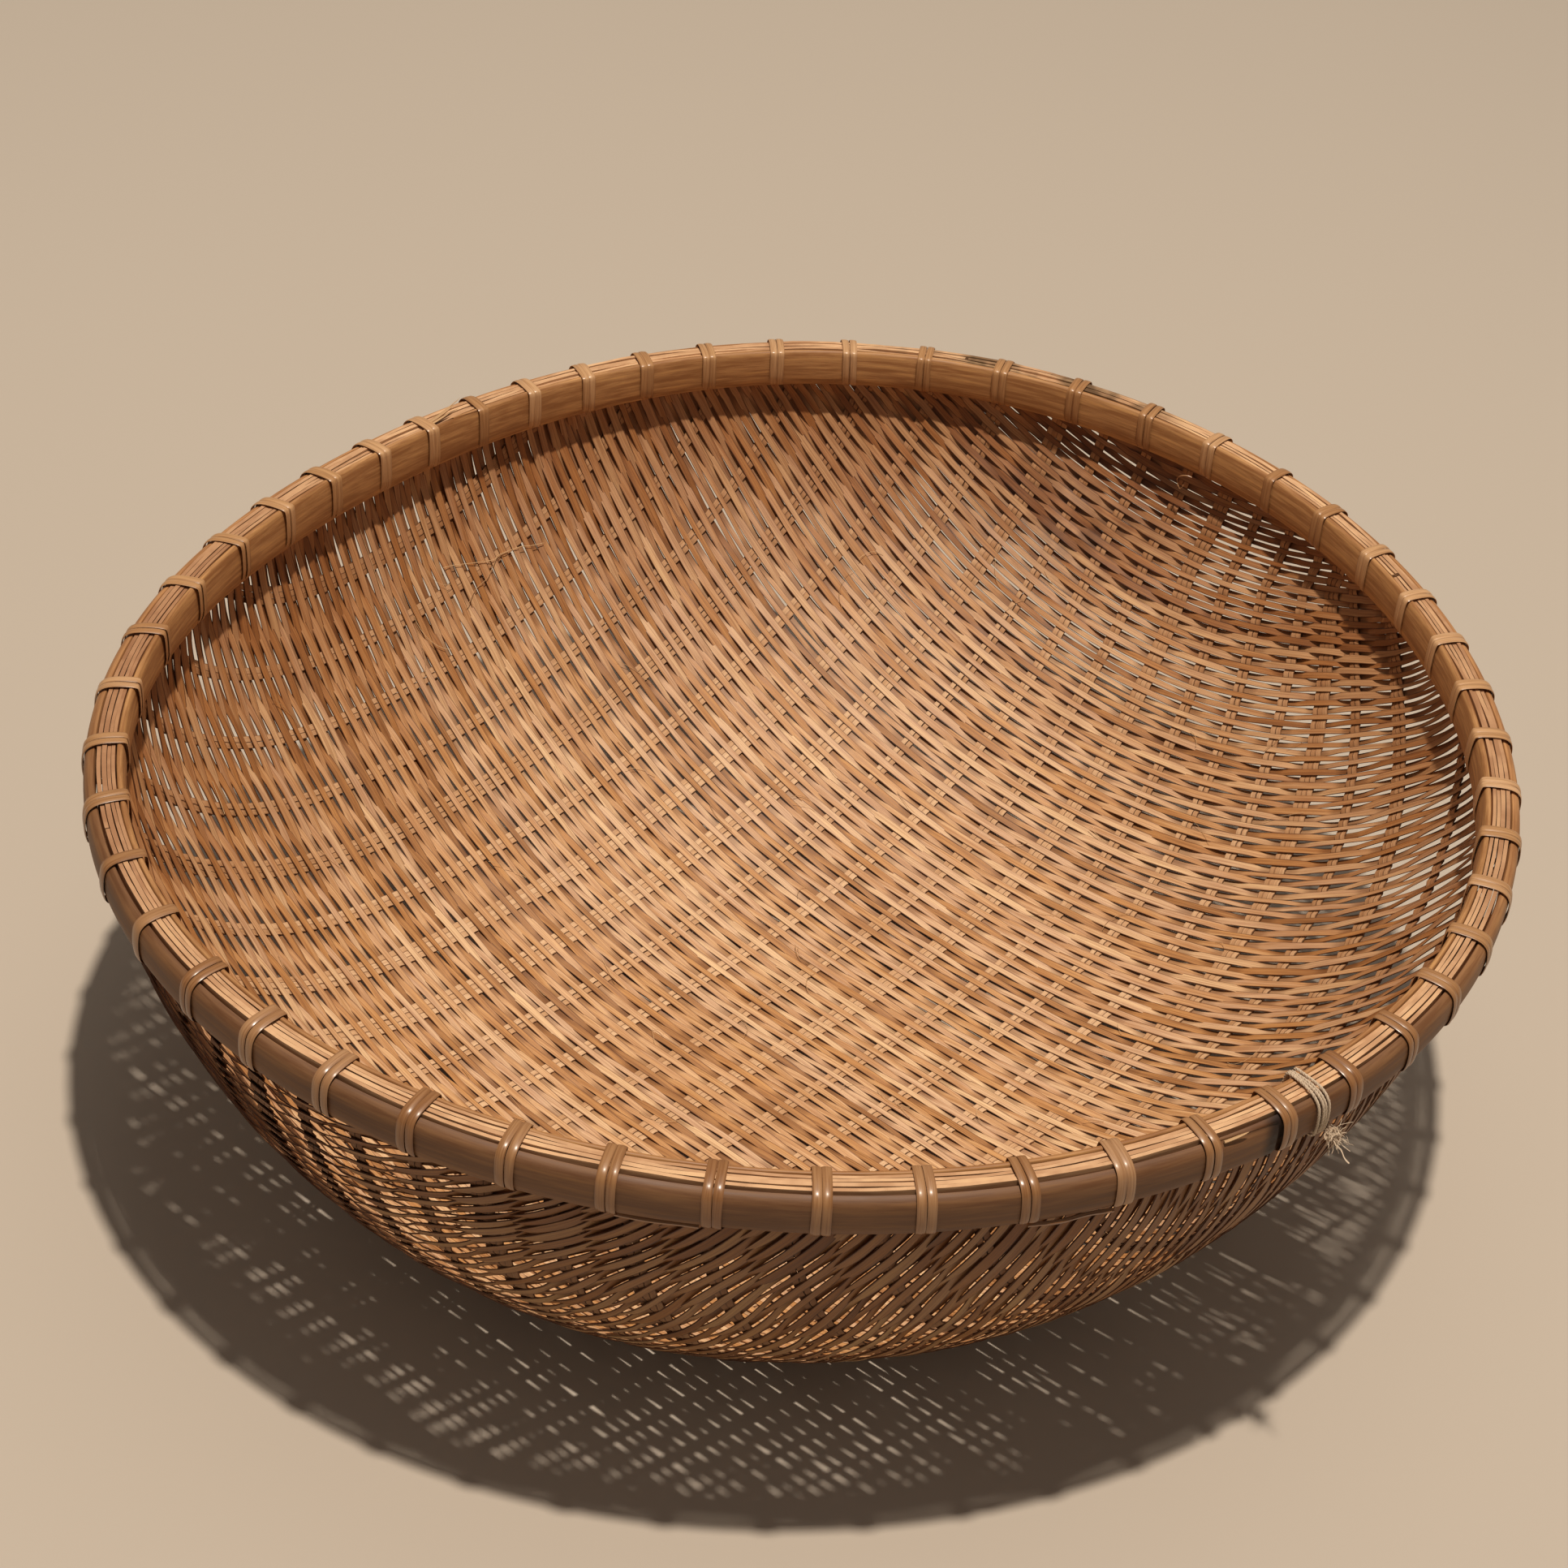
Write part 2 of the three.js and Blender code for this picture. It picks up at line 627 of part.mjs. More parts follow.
const basket = new THREE.Group();
basket.name = "woven_basket";
basket.add(named("woven_bowl", wovenBowl(), weave));
basket.add(named("outer_hoop", outerHoop(), bamboo));
basket.add(named("inner_hoop", innerHoop(), bamboo));
basket.add(named("outer_edge_strip", outerEdgeStrip(), splitBamboo));
basket.add(named("inner_edge_strip", innerEdgeStrip(), splitBamboo));
basket.add(named("cap_strip", capStrip(), splitBamboo));

const canes = [];
for (let number = 1; number <= LASHING_COUNT; number++) {
  const loops = caneLoops(number);
  const name = `cane_lashing_${String(number).padStart(2, "0")}`;
  basket.add(named(name, loftSolid(loops), cane));
  canes.push(loops);
}

const twine = twineLoops();
basket.add(named("twine_tie", loftSolid(twine), thread));

const caneGap = Math.min(...canes.map(leastTurnGap));
console.log("least gap between the turns of a cane lashing:", caneGap.toFixed(2), "mm");
console.log("least gap between the turns of the twine:", leastTurnGap(twine).toFixed(2), "mm");

export default basket;
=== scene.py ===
import bpy
import random
from math import cos, pi, radians, sin
import numpy as np
from mathutils import Matrix, Vector


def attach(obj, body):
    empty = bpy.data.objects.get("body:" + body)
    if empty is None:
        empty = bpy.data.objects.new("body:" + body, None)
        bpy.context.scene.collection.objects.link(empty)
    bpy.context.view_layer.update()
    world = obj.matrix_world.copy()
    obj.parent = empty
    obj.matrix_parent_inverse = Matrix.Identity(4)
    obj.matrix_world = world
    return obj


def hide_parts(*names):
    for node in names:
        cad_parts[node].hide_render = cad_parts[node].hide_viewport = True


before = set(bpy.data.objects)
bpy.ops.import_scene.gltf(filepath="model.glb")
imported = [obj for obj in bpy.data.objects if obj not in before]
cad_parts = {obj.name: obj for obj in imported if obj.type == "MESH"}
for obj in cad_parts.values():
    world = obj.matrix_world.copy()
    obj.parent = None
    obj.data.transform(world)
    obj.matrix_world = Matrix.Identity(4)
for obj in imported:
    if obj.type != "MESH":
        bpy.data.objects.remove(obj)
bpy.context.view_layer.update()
mm = 0.001  # guides are in millimetres, meshes in metres


def unit(vectors):
    return vectors / np.linalg.norm(vectors, axis=-1, keepdims=True)


def lengthAlong(points):
    return np.concatenate([[0], np.cumsum(np.linalg.norm(np.diff(points, axis=0), axis=1))])


def addObject(name, data):
    made = bpy.data.objects.new(name, data)
    bpy.context.collection.objects.link(made)
    return made


# Shape of the basket, as in the solids
basket = {
    "rimRadius": 250, "rimOval": 12, "ovalDirection": 52, "rimLobe": 4.5, "lobeDirection": 86,
    "rimHeight": 159, "baseRadius": 50, "bottomShift": (1, -58), "flatness": 2.36, "steepness": 1.4,
    "wallInset": 6.4, "wallFoot": 136, "weaveTop": 154.4, "weaveThickness": 2.4,
    "lashings": 51, "firstLashing": 197, "lashingSpace": 30.8,
    "swings": ((1, 1, -69), (0.8, 3, -58), (0.45, 4, -2)),
    "uprightFrom": 0.995,  # share of the radius where the upright wall starts
}


def rimAngle(place):
    even = radians(basket["firstLashing"]) + 2 * pi * np.asarray(place, float) / basket["lashings"]
    return even + sum(
        radians(size) * np.sin(waves * (even - radians(start))) for size, waves, start in basket["swings"]
    )


def rimRadius(angle):
    oval = basket["rimOval"] * np.cos(2 * (angle - radians(basket["ovalDirection"])))
    lobe = basket["rimLobe"] * np.cos(3 * (angle - radians(basket["lobeDirection"])))
    return basket["rimRadius"] + oval + lobe


def outlineMiddle():
    angle = rimAngle(np.arange(2 * basket["lashings"]) / 2)
    corners = np.stack([rimRadius(angle) * np.cos(angle), rimRadius(angle) * np.sin(angle)], -1)
    return (corners.max(0) + corners.min(0)) / 2


middle = outlineMiddle()


def rimPoint(place, inset, height):
    angle = rimAngle(place)
    radius = rimRadius(angle) - inset
    x, y = radius * np.cos(angle) - middle[0], radius * np.sin(angle) - middle[1]
    return np.stack(np.broadcast_arrays(x, y, basket["rimHeight"] + height), -1)


def outwards(place):
    angle = rimAngle(place)
    return np.stack([np.cos(angle), np.sin(angle), 0 * angle], -1)


# Camera at the photograph's viewing angle
photoView = {
    "lens": 75.05, "sensor": 36, "clip": (0.05, 20),
    "height": 0.632, "distance": 4.62,  # angle above the rim, and distance in rim radii
    "aimRight": -0.0107, "aimUp": -0.0269, "roll": 0.119,
}


def setCamera(values):
    height, distance = values["height"], values["distance"]
    place = Vector((0, -distance * cos(height), distance * sin(height)))
    ahead, right = -place.normalized(), Vector((1, 0, 0))
    up = right.cross(ahead)
    ahead = (ahead + right * values["aimRight"] + up * values["aimUp"]).normalized()
    right = ahead.cross(Vector((0, 0, 1))).normalized()
    up = right.cross(ahead)
    turn = values["roll"]
    rolledRight = right * cos(turn) + up * sin(turn)
    rolledUp = up * cos(turn) - right * sin(turn)
    data = bpy.data.cameras.new("photoCamera")
    data.lens = values["lens"]
    data.sensor_width = values["sensor"]
    data.clip_start, data.clip_end = values["clip"]
    camera = addObject("photoCamera", data)
    matrix = Matrix((rolledRight, rolledUp, -ahead)).transposed().to_4x4()
    matrix.translation = (place * basket["rimRadius"] + Vector((-middle[0], -middle[1], basket["rimHeight"]))) * mm
    camera.matrix_world = matrix
    bpy.context.scene.camera = camera


setCamera(photoView)
print("camera set")


# Nodes, and maths with what they give
class Value:
    def __init__(self, graph, socket):
        self.maths, self.socket = graph.maths, socket

    def __add__(self, other): return self.maths("ADD", self, other)
    def __radd__(self, other): return self.maths("ADD", other, self)
    def __sub__(self, other): return self.maths("SUBTRACT", self, other)
    def __rsub__(self, other): return self.maths("SUBTRACT", other, self)
    def __mul__(self, other): return self.maths("MULTIPLY", self, other)
    def __rmul__(self, other): return self.maths("MULTIPLY", other, self)
    def __truediv__(self, other): return self.maths("DIVIDE", self, other)


class Graph:
    def __init__(self, tree):
        self.tree = tree

    def node(self, kind, settings=None, sockets=None, output=0):
        made = self.tree.nodes.new(kind)
        for key, value in (settings or {}).items():
            setattr(made, key, value)
        for key, value in (sockets or {}).items():
            self.put(made.inputs[key], value)
        return Value(self, made.outputs[output])

    def put(self, socket, value):
        if isinstance(value, Value):
            self.tree.links.new(value.socket, socket)
        else:
            socket.default_value = value

    def maths(self, kind, first, second=0.0):
        return self.node("ShaderNodeMath", {"operation": kind}, {0: first, 1: second})


class Look(Graph):
    def __init__(self, name):
        self.material = bpy.data.materials.new(name)
        self.material.use_nodes = True
        super().__init__(self.material.node_tree)
        self.tree.nodes.clear()
        self.surface = self.tree.nodes.new("ShaderNodeBsdfPrincipled")
        end = self.tree.nodes.new("ShaderNodeOutputMaterial")
        self.tree.links.new(self.surface.outputs[0], end.inputs[0])

    def attribute(self, name):
        return self.node("ShaderNodeAttribute", {"attribute_name": name}, output="Fac")

    def place(self):
        return self.node("ShaderNodeTexCoord", output="Object")

    def vector(self, x, y, z):
        return self.node("ShaderNodeCombineXYZ", sockets={0: x, 1: y, 2: z})

    def noise(self, where, scale, detail=2.0, rough=0.5):
        sockets = {"Vector": where, "Scale": scale, "Detail": detail, "Roughness": rough}
        return self.node("ShaderNodeTexNoise", sockets=sockets)

    def step(self, value, low, high, start=0.0, end=1.0):
        sockets = {0: value, 1: low, 2: high, 3: start, 4: end}
        return self.node("ShaderNodeMapRange", {"interpolation_type": "SMOOTHSTEP"}, sockets)

    def size(self, value):  # without its sign
        return self.maths("ABSOLUTE", value)

    def mix(self, share, first, second, blend="MIX"):
        paint = [(*c, 1) if isinstance(c, tuple) and len(c) == 3 else c for c in (first, second)]
        settings = {"data_type": "RGBA", "blend_type": blend}
        return self.node("ShaderNodeMix", settings, {"Factor": share, 6: paint[0], 7: paint[1]}, output=2)

    def shade(self, share, colour, darker):
        return self.mix(share, colour, darker, "MULTIPLY")

    def grain(self, scales, detail=2.0, rough=0.5):  # noise scaled along and across, its own on each strip
        where = [self.attribute(name) * scale for name, scale in zip(("along", "across", "tint"), scales)]
        return self.noise(self.vector(*where), 1.0, detail, rough)

    def ramp(self, value, *stops):
        colour = self.node("ShaderNodeValToRGB", sockets={0: value})
        elements = colour.socket.node.color_ramp.elements
        while len(elements) < len(stops):
            elements.new(0.5)
        for element, (position, paint) in zip(elements, stops):
            element.position = position
            element.color = (*paint, 1)
        return colour

    def near(self, centre, reach, softness=0.4):  # 1 inside an oval, 0 outside it
        moved = self.node("ShaderNodeVectorMath", {"operation": "SUBTRACT"}, {0: self.place(), 1: centre})
        shrunk = self.node("ShaderNodeVectorMath", {"operation": "DIVIDE"}, {0: moved, 1: reach})
        length = self.node("ShaderNodeVectorMath", {"operation": "LENGTH"}, {0: shrunk}, output="Value")
        return self.step(length, 1 - softness, 1 + softness, 1.0, 0.0)

    def darkenedOutside(self, colour, darkening):  # as it is inside each oval, darker outside it
        for centre, reach, softness, strength, darker in darkening:
            colour = self.shade((1.0 - self.near(centre, reach, softness)) * strength, colour, darker)
        return colour

    def bump(self, height, strength, depth):
        return self.node("ShaderNodeBump", sockets={"Strength": strength, "Distance": depth, "Height": height})

    def finish(self, colour, roughness, normal=None, **fixed):
        self.put(self.surface.inputs["Base Color"], colour)
        self.put(self.surface.inputs["Roughness"], roughness)
        if normal is not None:
            self.put(self.surface.inputs["Normal"], normal)
        for name, value in fixed.items():
            self.surface.inputs[name].default_value = value
        return self.material


bamboo = {
    "fibreScale": (0.045, 3.2, 91), "streakScale": (0.024, 0.6, 57), "edgeScale": (0.07, 1, 43),
    "fibreShade": (0.55, 0.42, 0.34), "fibreShine": (1.0, 0.86, 0.66), "blotchShade": (0.72, 0.62, 0.60),
    "paintedEdgeShade": (0.20, 0.10, 0.05), "paintedDipShade": (0.30, 0.19, 0.12),
    "blotchScale": 14.0, "mottleScale": 60.0, "relief": (0.5, 0.00015),
}


# Split bamboo: tint picks the strip's own tone, grain runs along it
def splitBamboo(name, tones, grain, shine, edge, stainsAndShade=(), blotch=0.25, darkening=(), woven=None):
    look = Look(name)
    fibre, streak = look.grain(bamboo["fibreScale"], 4.0, 0.6), look.grain(bamboo["streakScale"])
    stops = [(index / (len(tones) - 1), tone) for index, tone in enumerate(tones)]
    tone = look.ramp(look.step(look.attribute("tint") * 0.62 + streak * 0.38, 0.12, 0.86), *stops)
    colour = look.shade(look.step(fibre, 0.62, 0.36) * grain, tone, bamboo["fibreShade"])
    colour = look.mix(look.step(fibre, 0.55, 0.75) * grain * 0.6, colour, bamboo["fibreShine"], "SOFT_LIGHT")
    patch = look.noise(look.place(), bamboo["blotchScale"], 3.0)
    colour = look.shade(look.step(patch, 0.56, 0.7) * blotch, colour, bamboo["blotchShade"])
    # painted shade along each strip's edges, standing in for the dark gaps between strips
    side = look.size(look.attribute("across")) + (look.grain(bamboo["edgeScale"]) - 0.5) * 0.5
    colour = look.shade(look.step(side, 0.76, 0.98) * edge, colour, bamboo["paintedEdgeShade"])
    if woven:  # painted shade: darker where the strip dips under another, and on the outside of the bowl
        dipStrength, outsidePaintedShade = woven
        inner = look.attribute("inner")
        dip = look.step(look.attribute("rise") * inner, -0.4, -1.0)
        colour = look.shade(dip * dipStrength, colour, bamboo["paintedDipShade"])
        colour = look.shade(look.step(inner, 0.2, -0.2), colour, outsidePaintedShade)
    colour = look.darkenedOutside(colour, darkening)
    # stains, and patches of painted shade
    for centre, reach, strength, patchColour in stainsAndShade:
        mottle = look.step(look.noise(look.place(), bamboo["mottleScale"], 3.0), 0.35, 0.6)
        colour = look.shade(look.near(centre, reach) * mottle * strength, colour, patchColour)
    return look.finish(colour, look.step(fibre, 0.3, 0.7, shine, shine + 0.14), look.bump(fibre, *bamboo["relief"]))


# Strands: one strip or cane along each guide line
strandSizes = {
    "Strip Width": 0.003, "Strip Thickness": 0.0005, "Lift": 0.0,
    "Wave Sharpness": 2.2, "Shingle Roll": 0.0, "Breadth Change": 0.0,
}
sharpEdge = 0.75  # radians


def strandTree(name, corners):
    tree = bpy.data.node_groups.new(name, "GeometryNodeTree")
    sockets = tree.interface
    sockets.new_socket("Geometry", in_out="INPUT", socket_type="NodeSocketGeometry")
    for title, value in strandSizes.items():
        sockets.new_socket(title, in_out="INPUT", socket_type="NodeSocketFloat").default_value = value
    sockets.new_socket("Seed", in_out="INPUT", socket_type="NodeSocketInt").default_value = 1
    sockets.new_socket("Material", in_out="INPUT", socket_type="NodeSocketMaterial")
    sockets.new_socket("Geometry", in_out="OUTPUT", socket_type="NodeSocketGeometry")
    graph = Graph(tree)
    maths = graph.maths

    def add(kind, sockets=None, output=0, **settings):
        return graph.node(kind, settings, sockets, output)

    def named(title, kind="FLOAT"):
        return add("GeometryNodeInputNamedAttribute", {"Name": title}, data_type=kind)

    def store(geometry, title, value):
        sockets = {"Geometry": geometry, "Name": title, "Value": value}
        return add("GeometryNodeStoreNamedAttribute", sockets, data_type="FLOAT", domain="POINT")

    def here():
        return add("GeometryNodeInputPosition")

    size = {socket.name: Value(graph, socket) for socket in tree.nodes.new("NodeGroupInput").outputs}
    sharpness = size["Wave Sharpness"]
    wave = maths("TANH", maths("COSINE", named("phase") * pi) * sharpness) / maths("TANH", sharpness)
    swing = wave * named("swing") * size["Lift"]
    facing = named("facing", "FLOAT_VECTOR")
    curve = add("GeometryNodeMeshToCurve", {0: size["Geometry"]})
    curve = add("GeometryNodeSetCurveNormal", {"Curve": curve, "Normal": facing}, mode="FREE")
    offset = add("ShaderNodeVectorMath", {0: facing, "Scale": swing}, operation="SCALE")
    curve = add("GeometryNodeSetPosition", {"Geometry": curve, "Offset": offset})
    curve = store(curve, "rise", wave)
    flatter = 1.0 - maths("ABSOLUTE", wave)
    tilt = named("spin") + named("lean") * (0.55 + flatter * 0.45) + flatter * size["Shingle Roll"]
    curve = add("GeometryNodeSetCurveTilt", {"Curve": curve, "Tilt": tilt})
    if corners == 4:
        sides = {"Width": size["Strip Thickness"], "Height": size["Strip Width"]}
        profile = add("GeometryNodeCurvePrimitiveQuadrilateral", sides)
    else:
        profile = add("GeometryNodeCurvePrimitiveCircle", {"Resolution": corners, "Radius": 0.5})
        stretch = add("ShaderNodeCombineXYZ", {0: size["Strip Thickness"], 1: size["Strip Width"], 2: 1.0})
        there = add("ShaderNodeVectorMath", {0: here(), 1: stretch}, operation="MULTIPLY")
        profile = add("GeometryNodeSetPosition", {"Geometry": profile, "Position": there})
    sideways = add("ShaderNodeSeparateXYZ", {0: here()}, output=1)
    profile = store(profile, "across", sideways * 2.0 / size["Strip Width"])
    profile = store(profile, "inner", maths("SIGN", add("ShaderNodeSeparateXYZ", {0: here()})))
    jitter = add("ShaderNodeTexNoise", {"Vector": here(), "Scale": 160.0, "W": size["Seed"]}, noise_dimensions="4D")
    scale = named("breadth") * (1.0 + (jitter - 0.5) * size["Breadth Change"])
    swept = {"Curve": curve, "Profile Curve": profile, "Scale": scale, "Fill Caps": True}
    mesh = add("GeometryNodeCurveToMesh", swept)
    mesh = add("GeometryNodeSetShadeSmooth", {"Geometry": mesh, "Shade Smooth": True}, domain="FACE")
    sharp = {"Selection": maths("GREATER_THAN", add("GeometryNodeInputMeshEdgeAngle"), sharpEdge)}
    mesh = add("GeometryNodeSetShadeSmooth", {"Geometry": mesh, "Shade Smooth": False, **sharp}, domain="EDGE")
    mesh = add("GeometryNodeRealizeInstances", {0: mesh})
    mesh = add("GeometryNodeSetMaterial", {"Geometry": mesh, "Material": size["Material"]})
    graph.put(tree.nodes.new("NodeGroupOutput").inputs[0], mesh)
    return tree


flatStrip = strandTree("flatStrip", 4)
roundCane = strandTree("roundCane", 8)
fineThread = strandTree("fineThread", 5)


class Guides:  # lines of points, with what the strand tree reads at each point
    def __init__(self):
        self.points, self.edges, self.count = [], [], 0
        self.values = {}

    def add(self, points, facing, phase=0.5, spin=0.0, breadth=1.0, tint=0.5, start=0.0, lean=0.0, swing=1.0):
        total = len(points)
        self.points.append(points)
        self.edges.append(np.stack([np.arange(total - 1), np.arange(1, total)], -1) + self.count)
        self.count += total
        given = {
            "facing": facing, "phase": phase, "spin": spin, "lean": lean, "swing": swing, "breadth": breadth,
            "along": start + lengthAlong(points), "tint": tint,
        }
        for name, value in given.items():
            shape = (total, 3) if name == "facing" else (total,)
            self.values.setdefault(name, []).append(np.broadcast_to(np.asarray(value, float), shape))


def growStrands(name, guides, tree, material, width, thickness, lift=0, **sizes):
    mesh = bpy.data.meshes.new(name + "Guides")
    points = np.concatenate(guides.points) * mm
    edges = np.concatenate(guides.edges)
    mesh.vertices.add(len(points))
    mesh.vertices.foreach_set("co", points.ravel())
    mesh.edges.add(len(edges))
    mesh.edges.foreach_set("vertices", edges.ravel())
    for title, parts in guides.values.items():
        kind, key = ("FLOAT_VECTOR", "vector") if title == "facing" else ("FLOAT", "value")
        mesh.attributes.new(title, kind, "POINT").data.foreach_set(key, np.concatenate(parts).ravel())
    piece = addObject(name, mesh)
    grower = piece.modifiers.new("strands", "NODES")
    grower.node_group = tree
    inputs = [socket for socket in tree.interface.items_tree if socket.in_out == "INPUT"]
    identifiers = {socket.name: socket.identifier for socket in inputs}
    for title, value in (("Strip Width", width), ("Strip Thickness", thickness), ("Lift", lift)):
        grower[identifiers[title]] = value * mm
    for title, value in sizes.items():
        grower[identifiers[title.replace("_", " ")]] = value
    grower[identifiers["Material"]] = material
    evaluated = piece.evaluated_get(bpy.context.evaluated_depsgraph_get())
    grown = bpy.data.meshes.new_from_object(evaluated)
    piece.modifiers.remove(grower)
    piece.data = grown
    bpy.data.meshes.remove(mesh)
    grown.name = name
    triangles = sum(len(face.vertices) - 2 for face in grown.polygons)
    print(name, len(guides.points), "strands,", triangles, "triangles")
    return piece


# The bowl's surface over its plan; level is 0 at the bottom and 1 at the rim
def bowlLevel(x, y):
    level = np.full_like(x, 0.5)
    east, north = basket["bottomShift"]
    for _ in range(24):
        lean = 1 - level ** 2
        across, deep = x - east * lean, y - north * lean
        angle = np.arctan2(deep, across)
        reach = rimRadius(angle) - basket["wallInset"]
        level = np.hypot(across, deep) / reach
    return level, angle, reach, lean


def bowlRise(level):
    flat = basket["baseRadius"] / (basket["rimRadius"] - basket["wallInset"])
    spread = np.clip((level - flat) / (1 - flat), 0, 1)
    curve = 1 - (1 - spread ** basket["flatness"]) ** (1 / basket["steepness"])
    return basket["wallFoot"] * curve


def bowlPoint(x, y):
    edge, step = basket["uprightFrom"], 0.002
    level, angle, reach, lean = bowlLevel(x, y)
    slope = (bowlRise(edge) - bowlRise(edge - step)) / step
    height = bowlRise(np.minimum(level, edge)) + slope * np.maximum(level - edge, 0)
    upright = np.clip((height - bowlRise(edge)) / (basket["wallFoot"] - bowlRise(edge)), 0, 1)
    radius = np.where(level > edge, edge + (1 - edge) * upright, level) * reach
    lean = np.where(level > edge, 0.01 * (1 - upright), lean)
    east, north = basket["bottomShift"]
    x, y = radius * np.cos(angle) + east * lean - middle[0], radius * np.sin(angle) + north * lean - middle[1]
    return np.stack([x, y, height], -1)


def bowlInwards(x, y):
    step = 0.05
    east = bowlPoint(x + step, y) - bowlPoint(x - step, y)
    north = bowlPoint(x, y + step) - bowlPoint(x, y - step)
    return unit(np.cross(east, north))


weave = {
    "direction": -34.58,  # degrees the wefts lie from the x axis
    "reach": 262, "netLines": 263, "netSteps": 1049,
    "pitch": 2.76, "pitchChange": (0.08, 22), "sample": 2.6, "shortest": 12, "fewest": 8,
    "bend": 0.5, "bendFrom": 0.92, "bendOver": 0.07, "straightWeft": -47,  # wefts lean over where the wall steepens
    "weftWidth": 3.15, "weftThickness": 0.4, "lift": 0.72, "roll": 10, "breadths": (0.74, 1.09), "patches": 0.15,
    # unevenness along a weft: how much, and over how many millimetres
    "wobble": (0.2, 31), "breadthChange": (0.09, 17), "spin": (radians(8), 21),
    # up the wall the strips roll towards level and get narrower: everywhere, then (direction, spread, more)
    "wallFrom": 0.7, "swing": ((0.45, 0.85), (0.62, 1.08)),
    "lean": (0.06, (216, 30, 0.5), (15, 48, 0.32), (100, 45, 0.08), (66, 20, 0.14)),
    "thin": (0.0, (15, 50, 0.19), (150, 45, -0.12), (300, 36, -0.24), (250, 26, -0.05), (226, 18, 0.15)),
    "ribFirst": -12, "ribLast": 12, "ribStart": 6, "ribPitch": 23.9, "ribCrowding": 0.0012,
    "ribSlant": 0.105, "ribFan": 0.0005,
    # ribs draw together at the back: how far, from and over which distance, power; then more for the right ones
    "pull": (48.8, 100, 140, 1.9),
    "pullAcross": ((-90, -41, 6, 54, 77, 100, 122, 144, 216), (0, 0.25, 0.5, 0.84, 1, 1.25, 1.55, 1.8, 2.1)),
    "ribStrips": (2, 2, 3), "ribStripWidth": 2.3, "ribStripGap": 0.06, "ribThickness": 0.6, "ribLift": 0.26,
    "ribSwing": ((0.5, 0.85), (1.0, 1.6)), "ribBreadths": (0.9, 1.05),
    "ribWander": (0.5, 60), "ribStripWander": (0.16, 45), "ribSpin": (radians(5), 50),
}
heading = np.array([cos(radians(weave["direction"])), sin(radians(weave["direction"]))])


def planPoint(s, t):  # s runs along the wefts, t square to them
    return s * heading[0] - t * heading[1], s * heading[1] + t * heading[0]


def ribPlace(index):
    return weave["ribStart"] + weave["ribPitch"] * index * (1 - weave["ribCrowding"] * index ** 2)


def ribPull(u, t):  # towards the back, the ribs on the right draw together up the wall
    most, start, over, power = weave["pull"]
    return most * np.clip((t - start) / over, 0, 1) ** power * np.interp(u, *weave["pullAcross"])


def ribAlong(u, t):
    drawn = u - ribPull(u, t)
    return drawn + t * (weave["ribSlant"] + weave["ribFan"] * drawn)


def ribIndex(s, t):  # counts ribs, so it is whole on a rib and half between two
    drawn = (s - weave["ribSlant"] * t) / (1 + weave["ribFan"] * t)
    u = drawn
    for _ in range(40):  # settles on the rib line through the point
        u = drawn + ribPull(u, t)
    table = np.linspace(-14, 14, 561)
    return np.interp(u, ribPlace(table), table)


def layStrip(s, t, sample=None):  # keeps what lies below the top of the wall, at even steps along the surface
    points = bowlPoint(*planPoint(s, t))
    kept = np.nonzero(points[:, 2] <= basket["weaveTop"])[0]
    kept = max(np.split(kept, np.nonzero(np.diff(kept) > 1)[0] + 1), key=len)  # the longest stretch inside the bowl
    if len(kept) < weave["fewest"]:
        return None
    s, t, points = s[kept], t[kept], points[kept]
    reach = lengthAlong(points)
    if reach[-1] < weave["shortest"]:
        return None
    steps = np.linspace(0, reach[-1], max(4, int(reach[-1] / sample))) if sample else reach
    s, t = np.interp(steps, reach, s), np.interp(steps, reach, t)
    x, y = planPoint(s, t)
    inwards = bowlInwards(x, y)
    return s, t, bowlPoint(x, y) + inwards * basket["weaveThickness"] / 2, inwards, steps


def softNoise(chance, places, step):  # smooth random values between -1 and 1 along a line
    knots = np.arange(places.min() - 2 * step, places.max() + 3 * step, step)
    values = np.array([chance.uniform(-1, 1) for _ in knots])
    share = (places - knots[0]) / step
    index = share.astype(int)
    blend = share - index
    blend = blend * blend * (3 - 2 * blend)
    return values[index] * (1 - blend) + values[index + 1] * blend


def uneven(key, chance, places):
    amount, step = weave[key]
    return amount * softNoise(chance, places, step)


def weftNet(chance):  # for each weft, its distance across the plan at every rib line
    u, t = (np.linspace(-weave["reach"], weave["reach"], weave[count]) for count in ("netLines", "netSteps"))
    lines, across = np.meshgrid(u, t, indexing="ij")
    x, y = planPoint(ribAlong(lines, across), across)
    points, level = bowlPoint(x, y), bowlLevel(x, y)[0]
    arc = np.linalg.norm(np.diff(points, axis=1), axis=2)
    step = t[1] - t[0]
    steep = np.clip(((level[:, 1:] + level[:, :-1]) / 2 - weave["bendFrom"]) / weave["bendOver"], 0, 1)
    steep = weave["bend"] * steep * steep * (3 - 2 * steep)
    reach = np.concatenate([np.zeros((len(u), 1)), np.cumsum(step + steep * (arc - step), axis=1)], axis=1)
    reach -= reach[:, np.argmin(abs(t - weave["straightWeft"]))][:, None]
    centre = len(u) // 2
    climb = np.concatenate([[0], np.cumsum(arc[centre])])
    pitch = weave["pitch"] * (1 + uneven("pitchChange", chance, climb))
    count = np.concatenate([[0], np.cumsum(np.diff(climb) / pitch[1:])])
    marks = np.interp(np.arange(int(count[-1])), count, reach[centre])
    return u, np.stack([np.interp(marks, row, t) for row in reach], axis=1)


def byDirection(amounts, angle):
    total = 0
    for direction, spread, more in amounts[1:]:
        turn = (angle - radians(direction) + pi) % (2 * pi) - pi
        total = total + more * np.exp(-(turn / radians(spread)) ** 2)
    return amounts[0] + total


